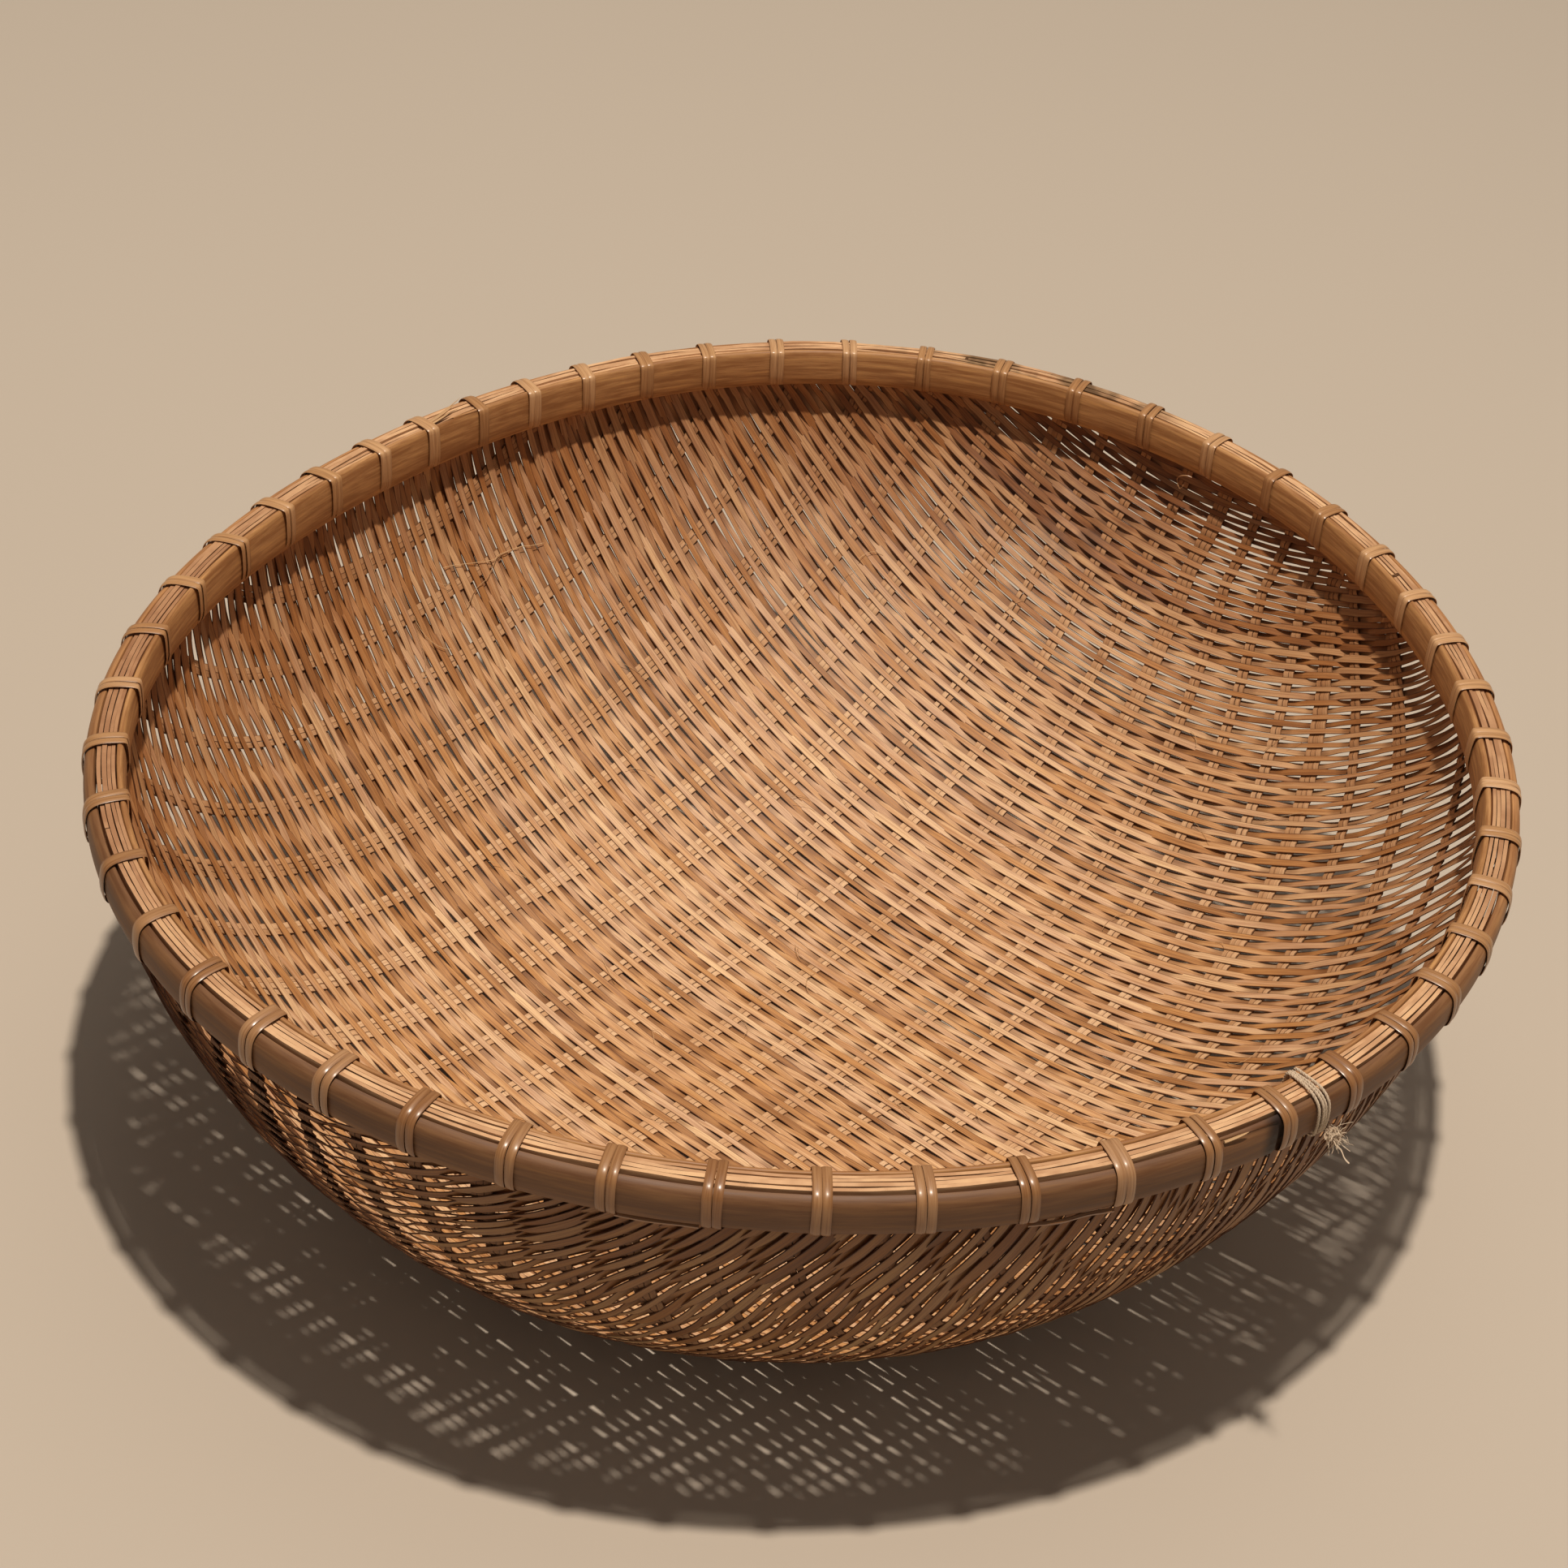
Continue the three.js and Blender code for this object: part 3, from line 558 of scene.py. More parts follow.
def levelTurn(points, inwards):  # how far a strip has to roll for its width to lie level
    ahead = unit(np.gradient(points, axis=0))
    upright = np.cross(ahead, [-heading[1], heading[0], 0])
    upright = unit(upright * np.sign((upright * inwards).sum(1, keepdims=True)))
    return np.arctan2((np.cross(inwards, upright) * ahead).sum(1), (inwards * upright).sum(1))


def thinPatches(points):
    x, y, z = points.T
    return np.sin(x / 17 + 2 * np.sin(y / 23)) * np.sin(y / 19 + 1.5 * np.sin(z / 14))


def layWefts(u, net):
    chance = random.Random(31)
    back, front = Guides(), Guides()
    fine = np.arange(-weave["reach"], weave["reach"], 0.5)
    for index, line in enumerate(net):
        t = np.interp(fine, u, line)
        laid = layStrip(ribAlong(fine, t), t, weave["sample"])
        if laid is None:
            continue
        s2, t2, points, inwards, steps = laid
        wobble = uneven("wobble", chance, steps)
        points = points + wobble[:, None] * np.array([-heading[1], heading[0], 0])
        phase = ribIndex(s2, t2) + index
        level, angle = bowlLevel(*planPoint(s2, t2))[:2]
        swing = np.interp(level, *weave["swing"])
        level = np.clip((level - weave["wallFrom"]) / (1 - weave["wallFrom"]), 0, 1)
        breadth = chance.uniform(*weave["breadths"]) + uneven("breadthChange", chance, steps)
        thin = byDirection(weave["thin"], angle) + weave["patches"] * thinPatches(points)
        breadth = breadth * (1 - level * thin)
        spin = uneven("spin", chance, steps)
        lean = byDirection(weave["lean"], angle) * levelTurn(points, inwards)
        tint, start = chance.random(), chance.uniform(0, 900)
        side = back if index > len(net) // 2 else front
        side.add(points, inwards, phase, spin, breadth, tint, start, lean, swing)
    return back, front


def layRibs(lines, net):
    chance = random.Random(47)
    ribs = Guides()
    count = np.arange(0, len(net) - 1, 0.5)
    for index in range(weave["ribFirst"], weave["ribLast"] + 1):
        u = ribPlace(index)
        crossings = [np.interp(u, lines, line) for line in net]
        t = np.interp(count, np.arange(len(net)), crossings)  # on every weft and between every two
        real = np.concatenate([[True], np.diff(t) > 0.001])
        laid = layStrip(ribAlong(u, t)[real], t[real])
        if laid is None:
            continue
        s2, t2, points, inwards, steps = laid
        phase = np.interp(t2, t[real], count[real]) + index + 1
        swing = np.interp(bowlLevel(*planPoint(s2, t2))[0], *weave["ribSwing"])
        sideways = unit(np.cross(np.gradient(points, axis=0), inwards))
        wander = uneven("ribWander", chance, steps)
        strips = chance.choice(weave["ribStrips"])
        for strip in range(strips):
            away = (strip - (strips - 1) / 2) * (weave["ribStripWidth"] + weave["ribStripGap"]) + wander
            away = away + uneven("ribStripWander", chance, steps)
            breadth = chance.uniform(*weave["ribBreadths"])
            spin = uneven("ribSpin", chance, steps)
            tint, start = chance.random(), chance.uniform(0, 900)
            ribs.add(points + sideways * away[:, None], inwards, phase, spin, breadth, tint, start, 0.0, swing)
    return ribs


weftTones = (
    (0.40, 0.19, 0.07), (0.62, 0.31, 0.11), (0.70, 0.40, 0.18), (0.80, 0.50, 0.27),
    (0.66, 0.36, 0.16), (0.76, 0.49, 0.30), (0.88, 0.60, 0.34),
)
ribTones = ((0.58, 0.33, 0.16), (0.74, 0.46, 0.25), (0.84, 0.57, 0.34), (0.66, 0.39, 0.20))
weaveStainsAndShade = (  # centre, reach, strength, shade; the first is partly a stain and partly painted shade below the back rim, the second a grey stain
    ((0.094, 0.218, 0.118), (0.045, 0.03, 0.03), 0.5, (0.40, 0.29, 0.21)),
    ((0.096, 0.214, 0.098), (0.014, 0.009, 0.012), 0.5, (0.45, 0.43, 0.40)),
)
weaveWallShade = (  # painted shade up the walls and under the rim: centre, reach, softness, strength, shade outside it
    ((-0.01, -0.02, 0.0), (0.26, 0.28, 0.13), 0.55, 0.72, (0.68, 0.51, 0.36)),
    ((0, 0, -0.04), (0.4, 0.45, 0.175), 0.55, 0.8, (0.56, 0.43, 0.32)),
)
weftPaintedShade, ribPaintedShade = (0.5, (0.60, 0.57, 0.49)), (0.7, (0.46, 0.40, 0.34))  # strength of the painted shade where strips dip, painted shade on the outside
weftLook = splitBamboo("weftBamboo", weftTones, 0.6, 0.5, 0.85, weaveStainsAndShade, 0.1, weaveWallShade, weftPaintedShade)
ribLook = splitBamboo("ribBamboo", ribTones, 0.4, 0.6, 0.6, (), 0.1, weaveWallShade, ribPaintedShade)

weftLines = weftNet(random.Random(29))
backWefts, frontWefts = layWefts(*weftLines)
weftSizes = {
    "width": weave["weftWidth"], "thickness": weave["weftThickness"], "lift": weave["lift"],
    "Wave_Sharpness": 1.5, "Shingle_Roll": radians(weave["roll"]), "Breadth_Change": 0.1,
}
ribSizes = {
    "width": weave["ribStripWidth"], "thickness": weave["ribThickness"], "lift": weave["ribLift"],
    "Wave_Sharpness": 1.2, "Breadth_Change": 0.15,
}
for name, guides, look, sizes in (
    ("weftsBack", backWefts, weftLook, weftSizes),
    ("weftsFront", frontWefts, weftLook, weftSizes),
    ("ribs", layRibs(*weftLines), ribLook, ribSizes),
):
    piece = growStrands(name, guides, flatStrip, look, **sizes)
    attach(piece, "root")
    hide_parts("woven_bowl")
print("weave laid")


# Hoops, bent from one split each
def loftBand(name, rows, along, material):  # rows: stations x corners x 3, in millimetres
    stations, corners = rows.shape[:2]
    rings = np.arange(stations * corners).reshape(stations, corners)
    turned = np.roll(rings, -1, axis=1)
    sides = np.stack([rings[:-1], turned[:-1], turned[1:], rings[1:]], -1).reshape(-1, 4)
    faces = [*sides.tolist(), rings[0, ::-1].tolist(), rings[-1].tolist()]
    mesh = bpy.data.meshes.new(name)
    mesh.from_pydata((rows.reshape(-1, 3) * mm).tolist(), [], faces)
    attributes = {
        "along": np.repeat(along, corners),
        "across": np.tile(lengthAlong(rows[stations // 2]) * hoops["grainAcross"], stations),
        "tint": np.full(stations * corners, 0.5),
    }
    for title, values in attributes.items():
        mesh.attributes.new(title, "FLOAT", "POINT").data.foreach_set("value", values)
    mesh.materials.append(material)
    mesh.shade_smooth()
    mesh.set_sharp_from_angle(angle=radians(hoops["sharp"]))
    piece = addObject(name, mesh)
    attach(piece, "root")
    print(name, stations, "stations")
    return piece


hoops = {
    "depth": 15, "scarf": (1, 1.5, 0.3), "stationsPerSpace": 8,  # thickness of the tip, lashing spaces, gap
    "broad": (148, 30, 3.6),  # the inner hoop's split is broader here: direction, spread, how much
    "waverBelow": -10, "waver": (0.35, 0.12), "waverSpaces": 2.3,  # lower and upper edges aren't straight
    "grainAcross": 0.22, "sharp": 50,
    "outer": {"inset": 0, "thickness": 4, "joint": 15, "section": (
        (1.2, -15), (0.6, -14.1), (0.16, -12.4), (0, -10.3), (0, -7.6), (0.14, -5.4), (0.5, -3.8),
        (1.1, -2.7), (2.0, -1.9), (2.9, -1.4), (3.6, -1.25), (4, -1.9), (4, -15),
    )},
    "inner": {"inset": 11.2, "thickness": 3, "joint": 42, "section": (
        (0, -15), (0, -0.5), (0.3, -0.1), (0.9, 0), (1.5, -0.25), (1.95, -0.95), (2.3, -2.1),
        (2.62, -3.8), (2.86, -6), (3, -8.8), (2.93, -11.5), (2.65, -13.9), (2.2, -15),
    )},
}


def broader(place):
    return byDirection((0, hoops["broad"]), rimAngle(place))


def bendHoop(kind, chance, material):
    values = hoops[kind]
    thickness, joint = values["thickness"], values["joint"]
    tip, span, gap = hoops["scarf"]
    slope = (thickness - tip) / span
    reach = span - (tip + gap) / slope
    total = int(hoops["stationsPerSpace"] * (basket["lashings"] + reach))
    places = np.linspace(joint, joint + reach + basket["lashings"], total)
    past = places - joint
    inner = np.maximum(0, thickness - tip - slope * past)
    lapped = past - basket["lashings"]
    outer = np.where(lapped < 0, thickness, np.maximum(0, thickness - tip - slope * lapped) - gap)
    section = np.array(values["section"], float)[::-1]
    across = np.clip(section[None, :, 0], inner[:, None], outer[:, None])
    height = section[None, :, 1]
    waver = np.where(height < hoops["waverBelow"], *hoops["waver"])
    height = height + waver * softNoise(chance, places, hoops["waverSpaces"])[:, None]
    if kind == "inner":
        height = height * (1 + broader(places)[:, None] / hoops["depth"])
    rows = rimPoint(places[:, None], values["inset"] + across, height)
    return loftBand(kind + "Hoop", rows, past * basket["lashingSpace"], material)


hoopChance = random.Random(5)
skinTones = ((0.31, 0.135, 0.047), (0.42, 0.20, 0.075), (0.59, 0.30, 0.125), (0.36, 0.165, 0.06))
behind, behindReach = (0.02, 0.26, 0.16), (0.6, 0.37, 0.6)  # all of the rim but the front, which is darkest
# painted shade on the outer hoop's front, outside the oval behind
skinFrontShade = ((behind, behindReach, 0.2, 1.0, (0.38, 0.355, 0.35)),)
innerTones = ((0.36, 0.165, 0.055), (0.49, 0.25, 0.095), (0.60, 0.33, 0.14))
rimStains = (((0.072, 0.245, 0.16), (0.062, 0.04, 0.014), 0.9, (0.19, 0.18, 0.14)),)
notchShadeCentre = tuple(rimPoint(15.93, 0.4, -8.5) * mm)  # painted shade for the dark notch where the outer hoop ends
outerStainsAndNotchShade = (*rimStains, (notchShadeCentre, (0.007, 0.007, 0.013), 1.0, (0.10, 0.07, 0.055)))
outerLook = splitBamboo("outerHoopBamboo", skinTones, 0.6, 0.52, 0, outerStainsAndNotchShade, 0.5, skinFrontShade)
innerLook = splitBamboo("innerHoopBamboo", innerTones, 0.75, 0.48, 0, (), 0.25)
for kind, node, look in (("outer", "outer_hoop", outerLook), ("inner", "inner_hoop", innerLook)):
    piece = bendHoop(kind, hoopChance, look)
    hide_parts(node)


# Thin strips on edge between the hoops
edgeStrips = {
    "gap": 0.04, "stationsPerSpace": 9, "jointEvery": 300,
    "wander": ((0.2, 0.9), (0.06, 0.35)), "drop": ((0.55, 1.3), (0.15, 0.4)), "lower": 0.5,
    "spin": radians(1.0), "spinSpaces": 1.1,
    "outer": {
        "node": "outer_edge_strip", "insets": (5.3,), "thickness": 1.35, "tall": 10.6, "top": 0.1, "joint": 1.5,
    },
    "cap": {"node": "cap_strip", "insets": (7.05,), "thickness": 1.6, "tall": 3, "top": 0.25, "joint": 34.5},
    "inner": {
        "node": "inner_edge_strip", "insets": (8.75, 10.2), "thickness": 1.2, "tall": 10.6, "top": 0.15,
        "joint": 27.5,
    },
}


def twoWaves(chance, places, waves):
    (coarse, coarseStep), (fine, fineStep) = waves
    return coarse * softNoise(chance, places, coarseStep) + fine * softNoise(chance, places, fineStep)


def setEdgeStrips(kind, chance, material):
    values, guides = edgeStrips[kind], Guides()
    tall, joint, spaces = values["tall"], values["joint"], basket["lashings"]
    for index, inset in enumerate(values["insets"]):
        places = np.linspace(joint, joint + spaces - edgeStrips["gap"], spaces * edgeStrips["stationsPerSpace"])
        wander = twoWaves(chance, places, edgeStrips["wander"])
        drop = twoWaves(chance, places, edgeStrips["drop"]) - edgeStrips["lower"]
        points = rimPoint(places, inset + wander, values["top"] - tall / 2 + drop)
        spin = edgeStrips["spin"] * softNoise(chance, places, edgeStrips["spinSpaces"])
        tint = chance.random()
        start = edgeStrips["jointEvery"] * index
        guides.add(points, outwards(places), spin=spin, tint=tint, start=start)
    name = kind + "EdgeStrips"
    piece = growStrands(name, guides, flatStrip, material, tall, values["thickness"], Breadth_Change=0.1)
    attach(piece, "root")
    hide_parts(values["node"])


stripTones = ((0.50, 0.28, 0.135), (0.66, 0.39, 0.205), (0.76, 0.48, 0.27))
stripSideDarkening = (((0.01, 0, 0.16), (0.222, 0.6, 0.5), 0.2, 0.95, (0.56, 0.45, 0.39)),)  # duller at the two sides
stripLook = splitBamboo("splitStrip", stripTones, 0.6, 0.55, 0, rimStains, 0.25, stripSideDarkening)
for kind in ("outer", "cap", "inner"):
    setEdgeStrips(kind, random.Random(11 + len(kind)), stripLook)
print("rim strips set")


# Cane lashings
lashing = {
    "caneWidth": 3.0, "caneThickness": 0.6, "pitch": 3.02, "turns": 2,
    "wide": (3, 4, 31, 43), "wideCane": 4.4,
    # inset and height at the corners of one turn
    "path": (
        (14.85, -15.65), (14.85, -0.8), (13.4, 0.65), (4.3, 0.65), (0.4, -1.6), (-0.65, -6), (-0.65, -11.6),
        (0.45, -15.65), (7.6, -15.65),
    ),
    "start": 0.25, "endShort": 1.6, "insideFoot": (10, -10),
    "slants": (-0.5, 0.9), "slantOver": 14, "wander": (0.15, 9), "shift": 0.02, "breadths": (0.94, 1.04),
}


def roundOff(line, times):  # cuts the corners of a line of points
    for _ in range(times):
        near, far = line[:-1], line[1:]
        cut = np.stack([near * 0.75 + far * 0.25, near * 0.25 + far * 0.75], 1).reshape(-1, line.shape[1])
        line = np.concatenate([line[:1], cut[1:-1], line[-1:]])
    return line


def windPath(turns, pitch, path):
    turn = np.array(path, float)
    corners = np.concatenate([turn] * turns)
    first = turn[-1] + (turn[0] - turn[-1]) * lashing["start"]
    corners = np.concatenate([[first], corners])
    corners[-1, 0] -= lashing["endShort"]
    reach = lengthAlong(corners)
    return np.concatenate([corners, ((reach / reach[-1] - 0.5) * turns * pitch)[:, None]], 1)


def alongRim(place, line):  # line: inset, height, distance along the rim
    places = place + line[:, 2] / basket["lashingSpace"]
    heads = unit(np.gradient(line[:, :2], axis=0))
    facing = outwards(places) * heads[:, 1:2] + np.array([0, 0, 1.0]) * heads[:, 0:1]
    return rimPoint(places, line[:, 0], line[:, 1]), facing


def wrapLashings():
    chance = random.Random(23)
    narrow, wide = Guides(), Guides()
    for number in range(1, basket["lashings"] + 1):
        broad = number in lashing["wide"]
        slant = chance.uniform(*lashing["slants"])
        line = windPath(1 if broad else lashing["turns"], lashing["pitch"], lashing["path"])
        inset, height = lashing["insideFoot"]
        line[:, 1] -= np.where((line[:, 0] > inset) & (line[:, 1] < height), broader(number - 1), 0)
        line = roundOff(line, 2)
        amount, step = lashing["wander"]
        wander = amount * softNoise(chance, np.arange(len(line)) * 1.0, step)
        line[:, 2] += slant * (line[:, 0] / lashing["slantOver"] - 0.5) + wander
        points, facing = alongRim(number - 1 + chance.uniform(-lashing["shift"], lashing["shift"]), line)
        breadth, tint, start = chance.uniform(*lashing["breadths"]), chance.random(), chance.uniform(0, 500)
        (wide if broad else narrow).add(points, -facing, breadth=breadth, tint=tint, start=start)
    return narrow, wide


cane = {
    "tones": ((0.15, (0.42, 0.21, 0.085)), (0.5, (0.55, 0.31, 0.14)), (0.85, (0.70, 0.44, 0.24))),
    "fibreScale": (0.06, 2.5, 71), "fibreShade": (0.5, 0.36, 0.26), "paintedEdgeShade": (0.35, 0.2, 0.12),
    "relief": (0.35, 0.0001),
    "coat": {"Coat Weight": 0.18, "Coat Roughness": 0.2},
    "darkening": (  # painted shade: darker at the front, and downwards
        (behind, behindReach, 0.2, 0.85, (0.64, 0.57, 0.52)),
        ((0, 0, 0.176), (0.5, 0.5, 0.03), 0.4, 0.6, (0.62, 0.50, 0.42)),
    ),
}


def caneLook():
    look = Look("cane")
    tint = look.attribute("tint")
    fibre = look.grain(cane["fibreScale"], 3.0)
    streak = look.noise(look.vector(look.attribute("along") * 0.02, tint * 33, 0.0), 1.0)
    tone = look.ramp(tint * 0.6 + streak * 0.4, *cane["tones"])
    colour = look.shade(look.step(fibre, 0.6, 0.38) * 0.4, tone, cane["fibreShade"])
    # painted shade along the cane's edges
    side = look.step(look.size(look.attribute("across")), 0.6, 0.98)
    colour = look.darkenedOutside(look.shade(side * 0.25, colour, cane["paintedEdgeShade"]), cane["darkening"])
    roughness = look.step(fibre, 0.3, 0.7, 0.26, 0.42)
    return look.finish(colour, roughness, look.bump(fibre, *cane["relief"]), **cane["coat"])


caneMaterial = caneLook()
narrowWraps, wideWraps = wrapLashings()
narrowNodes, wideNodes = [], []
for number in range(1, basket["lashings"] + 1):
    (wideNodes if number in lashing["wide"] else narrowNodes).append("cane_lashing_%02d" % number)
for name, guides, width, members in (
    ("caneLashings", narrowWraps, lashing["caneWidth"], narrowNodes),
    ("wideCaneLashings", wideWraps, lashing["wideCane"], wideNodes),
):
    piece = growStrands(name, guides, roundCane, caneMaterial, width, lashing["caneThickness"], Breadth_Change=0.08)
    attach(piece, "root")
    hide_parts(*members)
print("lashings wrapped")


# Twine tie, each turn twisted from three plies
twine = {
    "place": 16.45, "turns": 4, "pitch": 1.3, "ply": 0.55, "plies": 3, "plyAway": 0.27, "twist": 3.6,
    "further": 0.45, "insets": (3, 10), "heights": (-15.5, -1),  # further out than cane, past these corners
    "sample": 0.75, "wander": ((0.55, 23), (0.2, 7)), "slant": 0.06,
    "knot": (16.66, -2.0, -16.8), "frays": 80, "longFrays": 5, "fraySteps": 9, "frayLengths": ((2, 4.5), (4.5, 7)),
    # middle and spread of where the frays head and start, and limits of how they bow, on each axis
    "heads": ((0.25, 0.8), (0, 0.8), (-0.25, 0.7)), "starts": ((0, 1.1), (0, 1.1), (0, 0.9)),
    "bows": ((-1, 1), (-1, 1), (-1, 0.3)), "thick": (3, 1.1), "breadths": (0.22, 0.45),
}


def tieTwine():
    chance = random.Random(77)
    guides = Guides()
    path = np.array(lashing["path"], float)
    for column, (low, high) in enumerate((twine["insets"], twine["heights"])):
        path[:, column] += twine["further"] * ((path[:, column] > high).astype(float) - (path[:, column] < low))
    line = roundOff(windPath(twine["turns"], twine["pitch"], path), 2)
    reach = lengthAlong(line[:, :2])
    steps = np.arange(0, reach[-1], twine["sample"])
    line = np.stack([np.interp(steps, reach, line[:, column]) for column in range(3)], -1)
    line[:, 2] += twoWaves(chance, steps, twine["wander"]) - twine["slant"] * line[:, 1]
    points, facing = alongRim(twine["place"], line)
    side = np.cross(unit(np.gradient(points, axis=0)), facing)
    for ply in range(twine["plies"]):
        turn = 2 * np.pi * (steps / twine["twist"] + ply / twine["plies"])
        away = (np.cos(turn)[:, None] * facing + np.sin(turn)[:, None] * side) * twine["plyAway"]
        guides.add(points + away, facing, tint=chance.random(), start=90 * ply)
    return guides


def frayTwine():  # a loose knot under the outer hoop, with fluff round it
    chance = random.Random(83)
    guides = Guides()
    knot = rimPoint(*twine["knot"])
    facing = outwards(twine["knot"][0])
    thick, widest = twine["thick"]
    for strand in range(twine["frays"]):
        long = chance.uniform(*twine["frayLengths"][strand < twine["longFrays"]])
        ahead = unit(np.array([chance.gauss(*pair) for pair in twine["heads"]]) + facing * 0.5)
        bow = np.array([chance.uniform(*pair) for pair in twine["bows"]])
        share = np.linspace(0, 1, twine["fraySteps"])[:, None]
        curl = 0.5 * np.stack([softNoise(chance, share[:, 0] * long, 1.5) for _ in range(3)], -1)
        root = knot + np.array([chance.gauss(*pair) for pair in twine["starts"]])
        points = root + ahead * long * share + bow * long * 0.6 * share ** 2 + curl
        breadth = widest if strand < thick else chance.uniform(*twine["breadths"])
        guides.add(points, facing, breadth=breadth, tint=chance.random(), start=chance.uniform(0, 99))
    turn = np.linspace(0, 5 * pi, 60)  # the knot itself
    x, y, z = 1.7 * np.cos(turn) + 0.6 * np.cos(2.3 * turn), 1.5 * np.sin(1.7 * turn), 1.3 * np.sin(turn + 1)
    guides.add(knot + np.stack([x, y, z], -1), facing, breadth=1.5, tint=0.8)
    return guides


def threadLook():
    look = Look("twineThread")
    fluff = look.grain((0.8, 3, 40), 3.0)
    colour = look.ramp(fluff, (0.3, (0.50, 0.38, 0.27)), (0.7, (0.80, 0.66, 0.50)))
    return look.finish(colour, look.step(fluff, 0.3, 0.7, 0.85, 0.95), look.bump(fluff, 0.6, 0.0002))


threadMaterial = threadLook()
for name, guides in (("twineTie", tieTwine()), ("twineFray", frayTwine())):
    piece = growStrands(name, guides, fineThread, threadMaterial, twine["ply"], twine["ply"])
    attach(piece, "root")
    if name == "twineTie":
        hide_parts("twine_tie")
print("twine tied")


# Loose ends: fibres lying on the weave, splinters and short runs of cane
looseEnds = {
    "fibres": 90, "fibreSize": 0.22, "caneSize": 1.5, "lengths": (5, 16), "within": (0.15, 0.96), "furthest": 238,
    "bottom": -50, "turnSpread": 0.35, "bendSpread": 0.5,
    "strays": (  # plan points of the two long fibres at the upper left
        ((-161, 136), (-157, 140), (-150, 146), (-143, 152), (-141, 155), (-134, 162), (-130, 165), (-125, 169)),
        ((-150, 132), (-148, 139), (-144, 146), (-142, 153), (-138, 158)),
    ),
    "strayPoints": 60,
    "splinters": (  # place, inset, height, length, rise, width
        (42.96, 9.4, 0.2, -16.5, 3.2, 7), (42.94, 10.6, 0.1, -13, 1.6, 5), (42.8, 8.6, 1.0, -16, 4.0, 2.5),
        (15.15, 1.4, -1.2, 9, 1.2, 4.5), (15.1, 1.0, -6, 7, 0.6, 4.5),
    ),
    # thin cane under the outer hoop: from place, to place, inset, height; then the end that hangs in a loop
    "runs": ((13.05, 13.95, 0.9, -16.3), (12.9, 14.6, 4.2, -17.6), (9.1, 9.9, 1.7, -16.1)),
    "hangingEnd": (31.2, 15.4, -17),
}


def throughPoints(knots, count):  # smooth line through a few points
    knots = np.array(knots, float)
    padded = np.concatenate([[2 * knots[0] - knots[1]], knots, [2 * knots[-1] - knots[-2]]])
    line = []
    for place in np.linspace(0, len(knots) - 1.0001, count):
        index, share = int(place), place - int(place)
        a, b, c, d = padded[index:index + 4]
        square, cube = 2 * a - 5 * b + 4 * c - d, 3 * b - a - 3 * c + d
        line.append(0.5 * (2 * b + (c - a) * share + square * share ** 2 + cube * share ** 3))
    return np.array(line)


def liftOff(path, away):  # a plan path, laid off the inner face of the bowl
    x, y = path.T
    inwards = bowlInwards(x, y)
    return bowlPoint(x, y) + inwards * (basket["weaveThickness"] + away)[:, None], inwards


def layFibres():
    chance = random.Random(61)
    fibres = Guides()
    total = looseEnds["strayPoints"]
    for line in looseEnds["strays"]:
        loose = 0.5 + 0.6 * abs(softNoise(chance, np.arange(total) * 1.0, 8))
        points, inwards = liftOff(throughPoints(line, total), loose)
        fibres.add(points, inwards, breadth=1.3, tint=chance.random())
    for _ in range(looseEnds["fibres"]):
        angle, reach = chance.uniform(0, 2 * pi), chance.uniform(*looseEnds["within"])
        radius, bottom = reach * rimRadius(angle), looseEnds["bottom"] * (1 - reach ** 2)
        start = np.array([radius * cos(angle), radius * sin(angle) + bottom])
        turn = radians(weave["direction"]) + chance.gauss(0, looseEnds["turnSpread"])
        turn += pi if chance.random() < 0.5 else 0
        long = chance.uniform(*looseEnds["lengths"])
        share = np.linspace(0, 1, 9)
        bend = turn + chance.gauss(0, looseEnds["bendSpread"]) * share
        path = start + np.stack([np.cos(bend), np.sin(bend)], -1) * (long * share)[:, None]
        if np.hypot(path[-1, 0], path[-1, 1]) > looseEnds["furthest"]:
            continue
        points, inwards = liftOff(path, chance.uniform(0.2, 2.2) * share ** 1.5 - 0.1)
        fibres.add(points, inwards, breadth=chance.uniform(0.6, 1.1), tint=chance.random())
    for place, inset, height, long, rise, wide in looseEnds["splinters"]:
        share = np.linspace(0, 1, 8)
        places = place + long * share / basket["lashingSpace"]
        points = rimPoint(places, inset - 0.6 * share, height + rise * share ** 1.4)
        fibres.add(points, (0, 0, 1), breadth=wide * (1.05 - share ** 4), tint=0.6 * chance.random())
    return fibres


def runCanes():
    chance = random.Random(67)
    runs = Guides()
    for start, end, inset, height in looseEnds["runs"]:
        places = np.linspace(start, end, 26)
        insets = inset + 0.5 * softNoise(chance, places, 0.3)
        points = rimPoint(places, insets, height + 0.5 * softNoise(chance, places, 0.35))
        runs.add(points, (0, 0, 1), breadth=1.0 if inset < 4 else 0.4, tint=chance.random())
    place, inset, height = looseEnds["hangingEnd"]
    turn = np.linspace(-0.4, 4.4, 30)
    drop = 5 * (1 - np.cos(turn)) / 1.4
    loop = rimPoint(place + 0.1 * np.sin(turn) + 0.03 * turn, inset + 0.8 * np.sin(2 * turn), height - drop)
    runs.add(loop, (0, 0, 1), breadth=0.3, tint=0.9)
    return runs


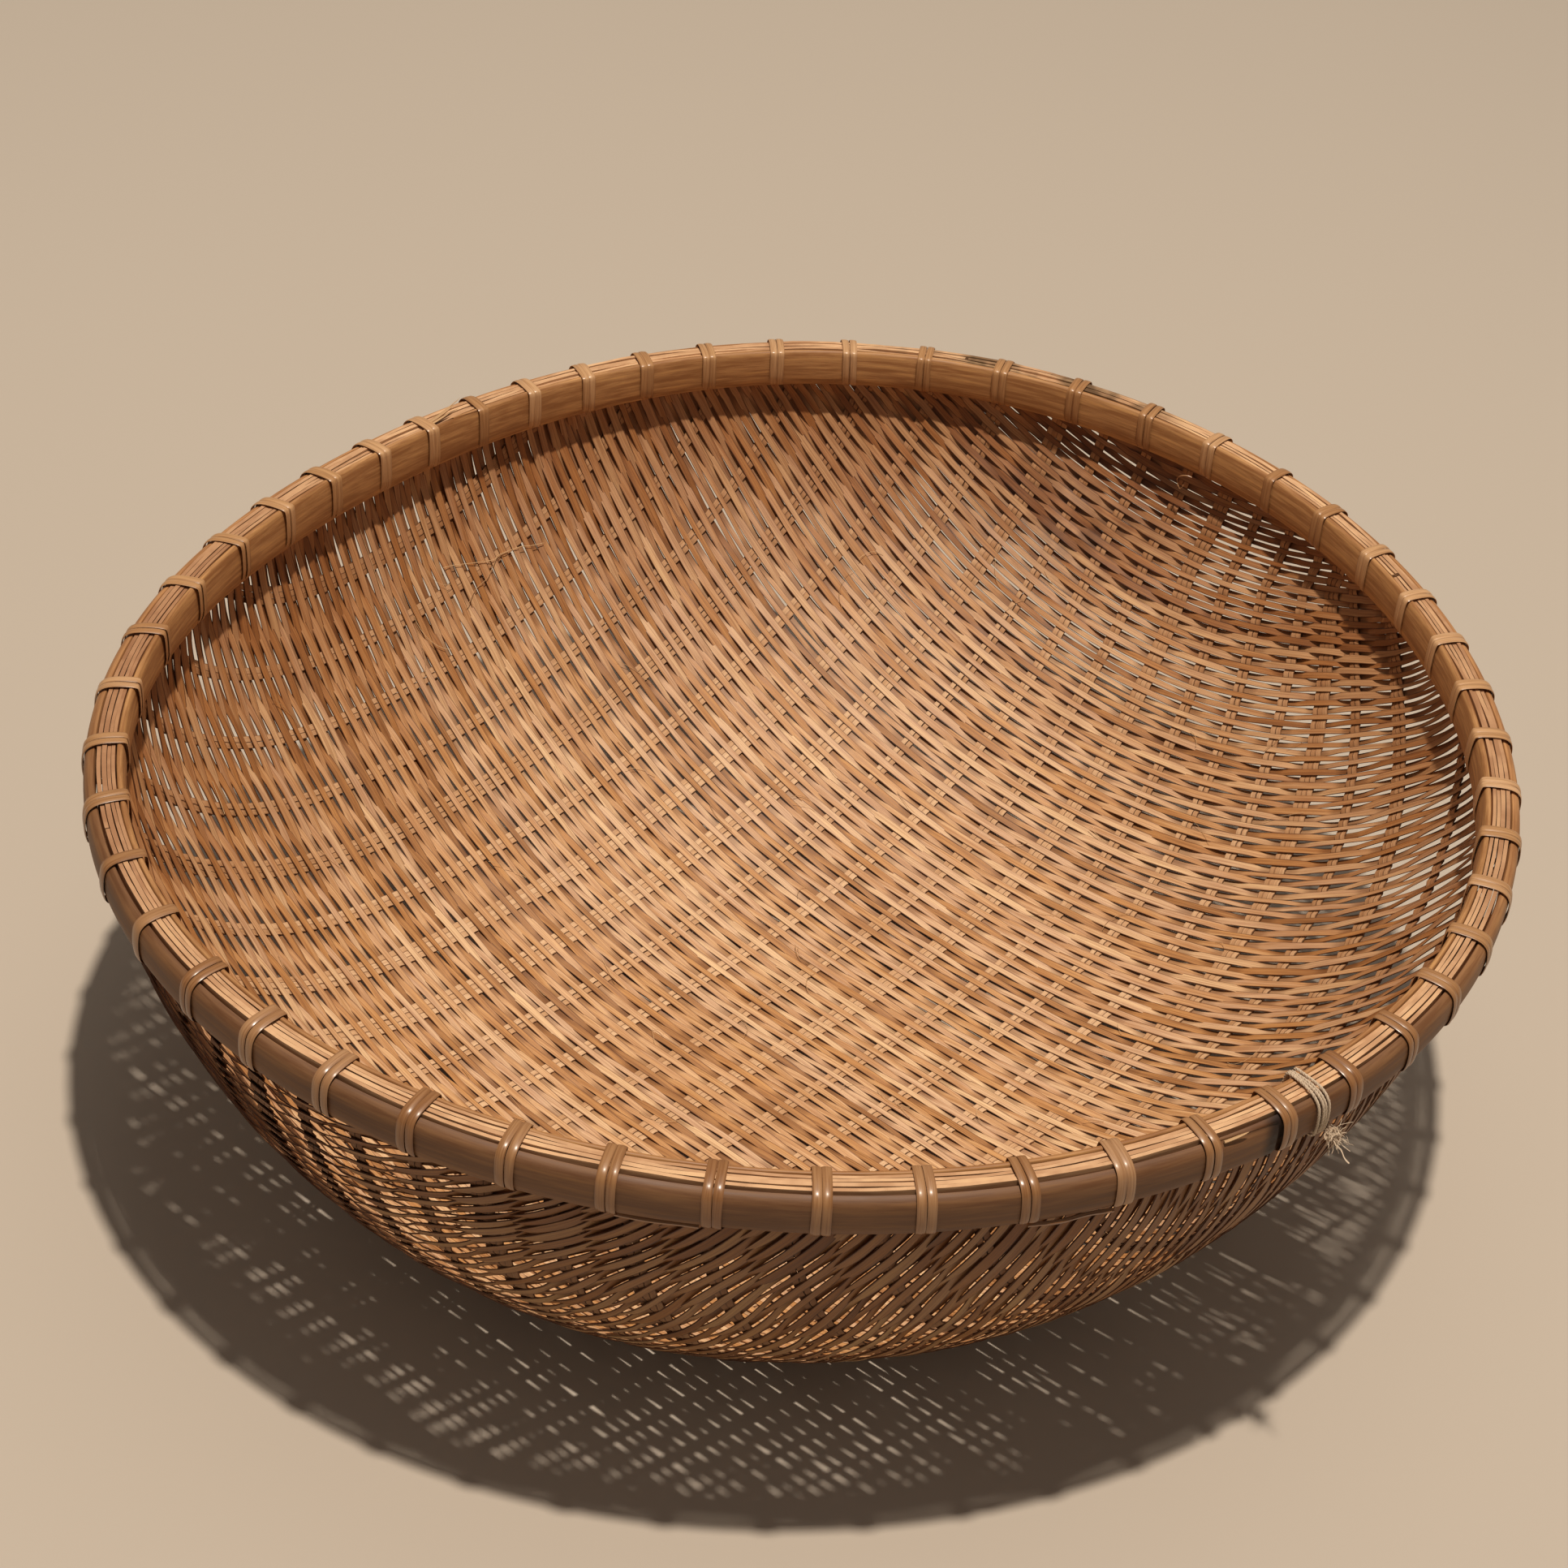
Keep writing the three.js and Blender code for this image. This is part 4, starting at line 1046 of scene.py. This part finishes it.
fibreTones = ((0.45, 0.25, 0.11), (0.66, 0.42, 0.21), (0.80, 0.56, 0.31))
fibreLook = splitBamboo("looseFibre", fibreTones, 0.3, 0.6, 0)
for name, guides, size, look, slot in (
    ("looseFibres", layFibres(), looseEnds["fibreSize"], fibreLook, "weave"),
    ("caneRuns", runCanes(), looseEnds["caneSize"], caneMaterial, "cane"),
):
    piece = growStrands(name, guides, fineThread, look, size, size)
    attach(piece, "root")
print("loose ends laid")


# Floor and light
stage = {
    "floor": (0.55, 0.485, 0.41), "floorCloud": (0.48, 0.42, 0.355), "floorReach": 4, "floorLevel": -0.0002,
    "world": (1.0, 0.90, 0.79), "worldStrength": 0.15, "aim": (0, 0, 0.1),
    "lamp": {"place": (0.107, -0.409, 3.712), "size": 0.14, "power": 122, "colour": (1.0, 0.88, 0.745)},
    "ceiling": {"place": (0.2, 0.9, 3.4), "size": 2.4, "power": 12, "colour": (1.0, 0.90, 0.79)},
}


def layFloor(values):
    mesh = bpy.data.meshes.new("floor")
    reach, level = values["floorReach"], values["floorLevel"]
    corners = [(x * reach, y * reach, level) for x, y in ((-1, -1), (1, -1), (1, 1), (-1, 1))]
    mesh.from_pydata(corners, [], [(0, 1, 2, 3)])
    floor = addObject("floor", mesh)
    look = Look("paleFloor")
    cloud = look.step(look.noise(look.place(), 3.0, 2.0), 0.3, 0.7)
    mesh.materials.append(look.finish(look.mix(cloud * 0.04, values["floor"], values["floorCloud"]), 0.85))


def hangLight(name, values, aim):
    data = bpy.data.lights.new(name, "AREA")
    data.shape, data.size, data.energy, data.color = "DISK", values["size"], values["power"], values["colour"]
    lamp = addObject(name, data)
    lamp.location = values["place"]
    lamp.rotation_euler = (Vector(aim) - Vector(values["place"])).to_track_quat("-Z", "Y").to_euler()


layFloor(stage)
hangLight("ceilingLamp", stage["lamp"], stage["aim"])
hangLight("softCeiling", stage["ceiling"], stage["aim"])
world = bpy.data.worlds.new("paleRoom")
bpy.context.scene.world = world
world.use_nodes = True
background = world.node_tree.nodes["Background"]
background.inputs["Color"].default_value = (*stage["world"], 1)
background.inputs["Strength"].default_value = stage["worldStrength"]
bpy.context.scene.view_settings.view_transform = "Standard"
print("stage lit")
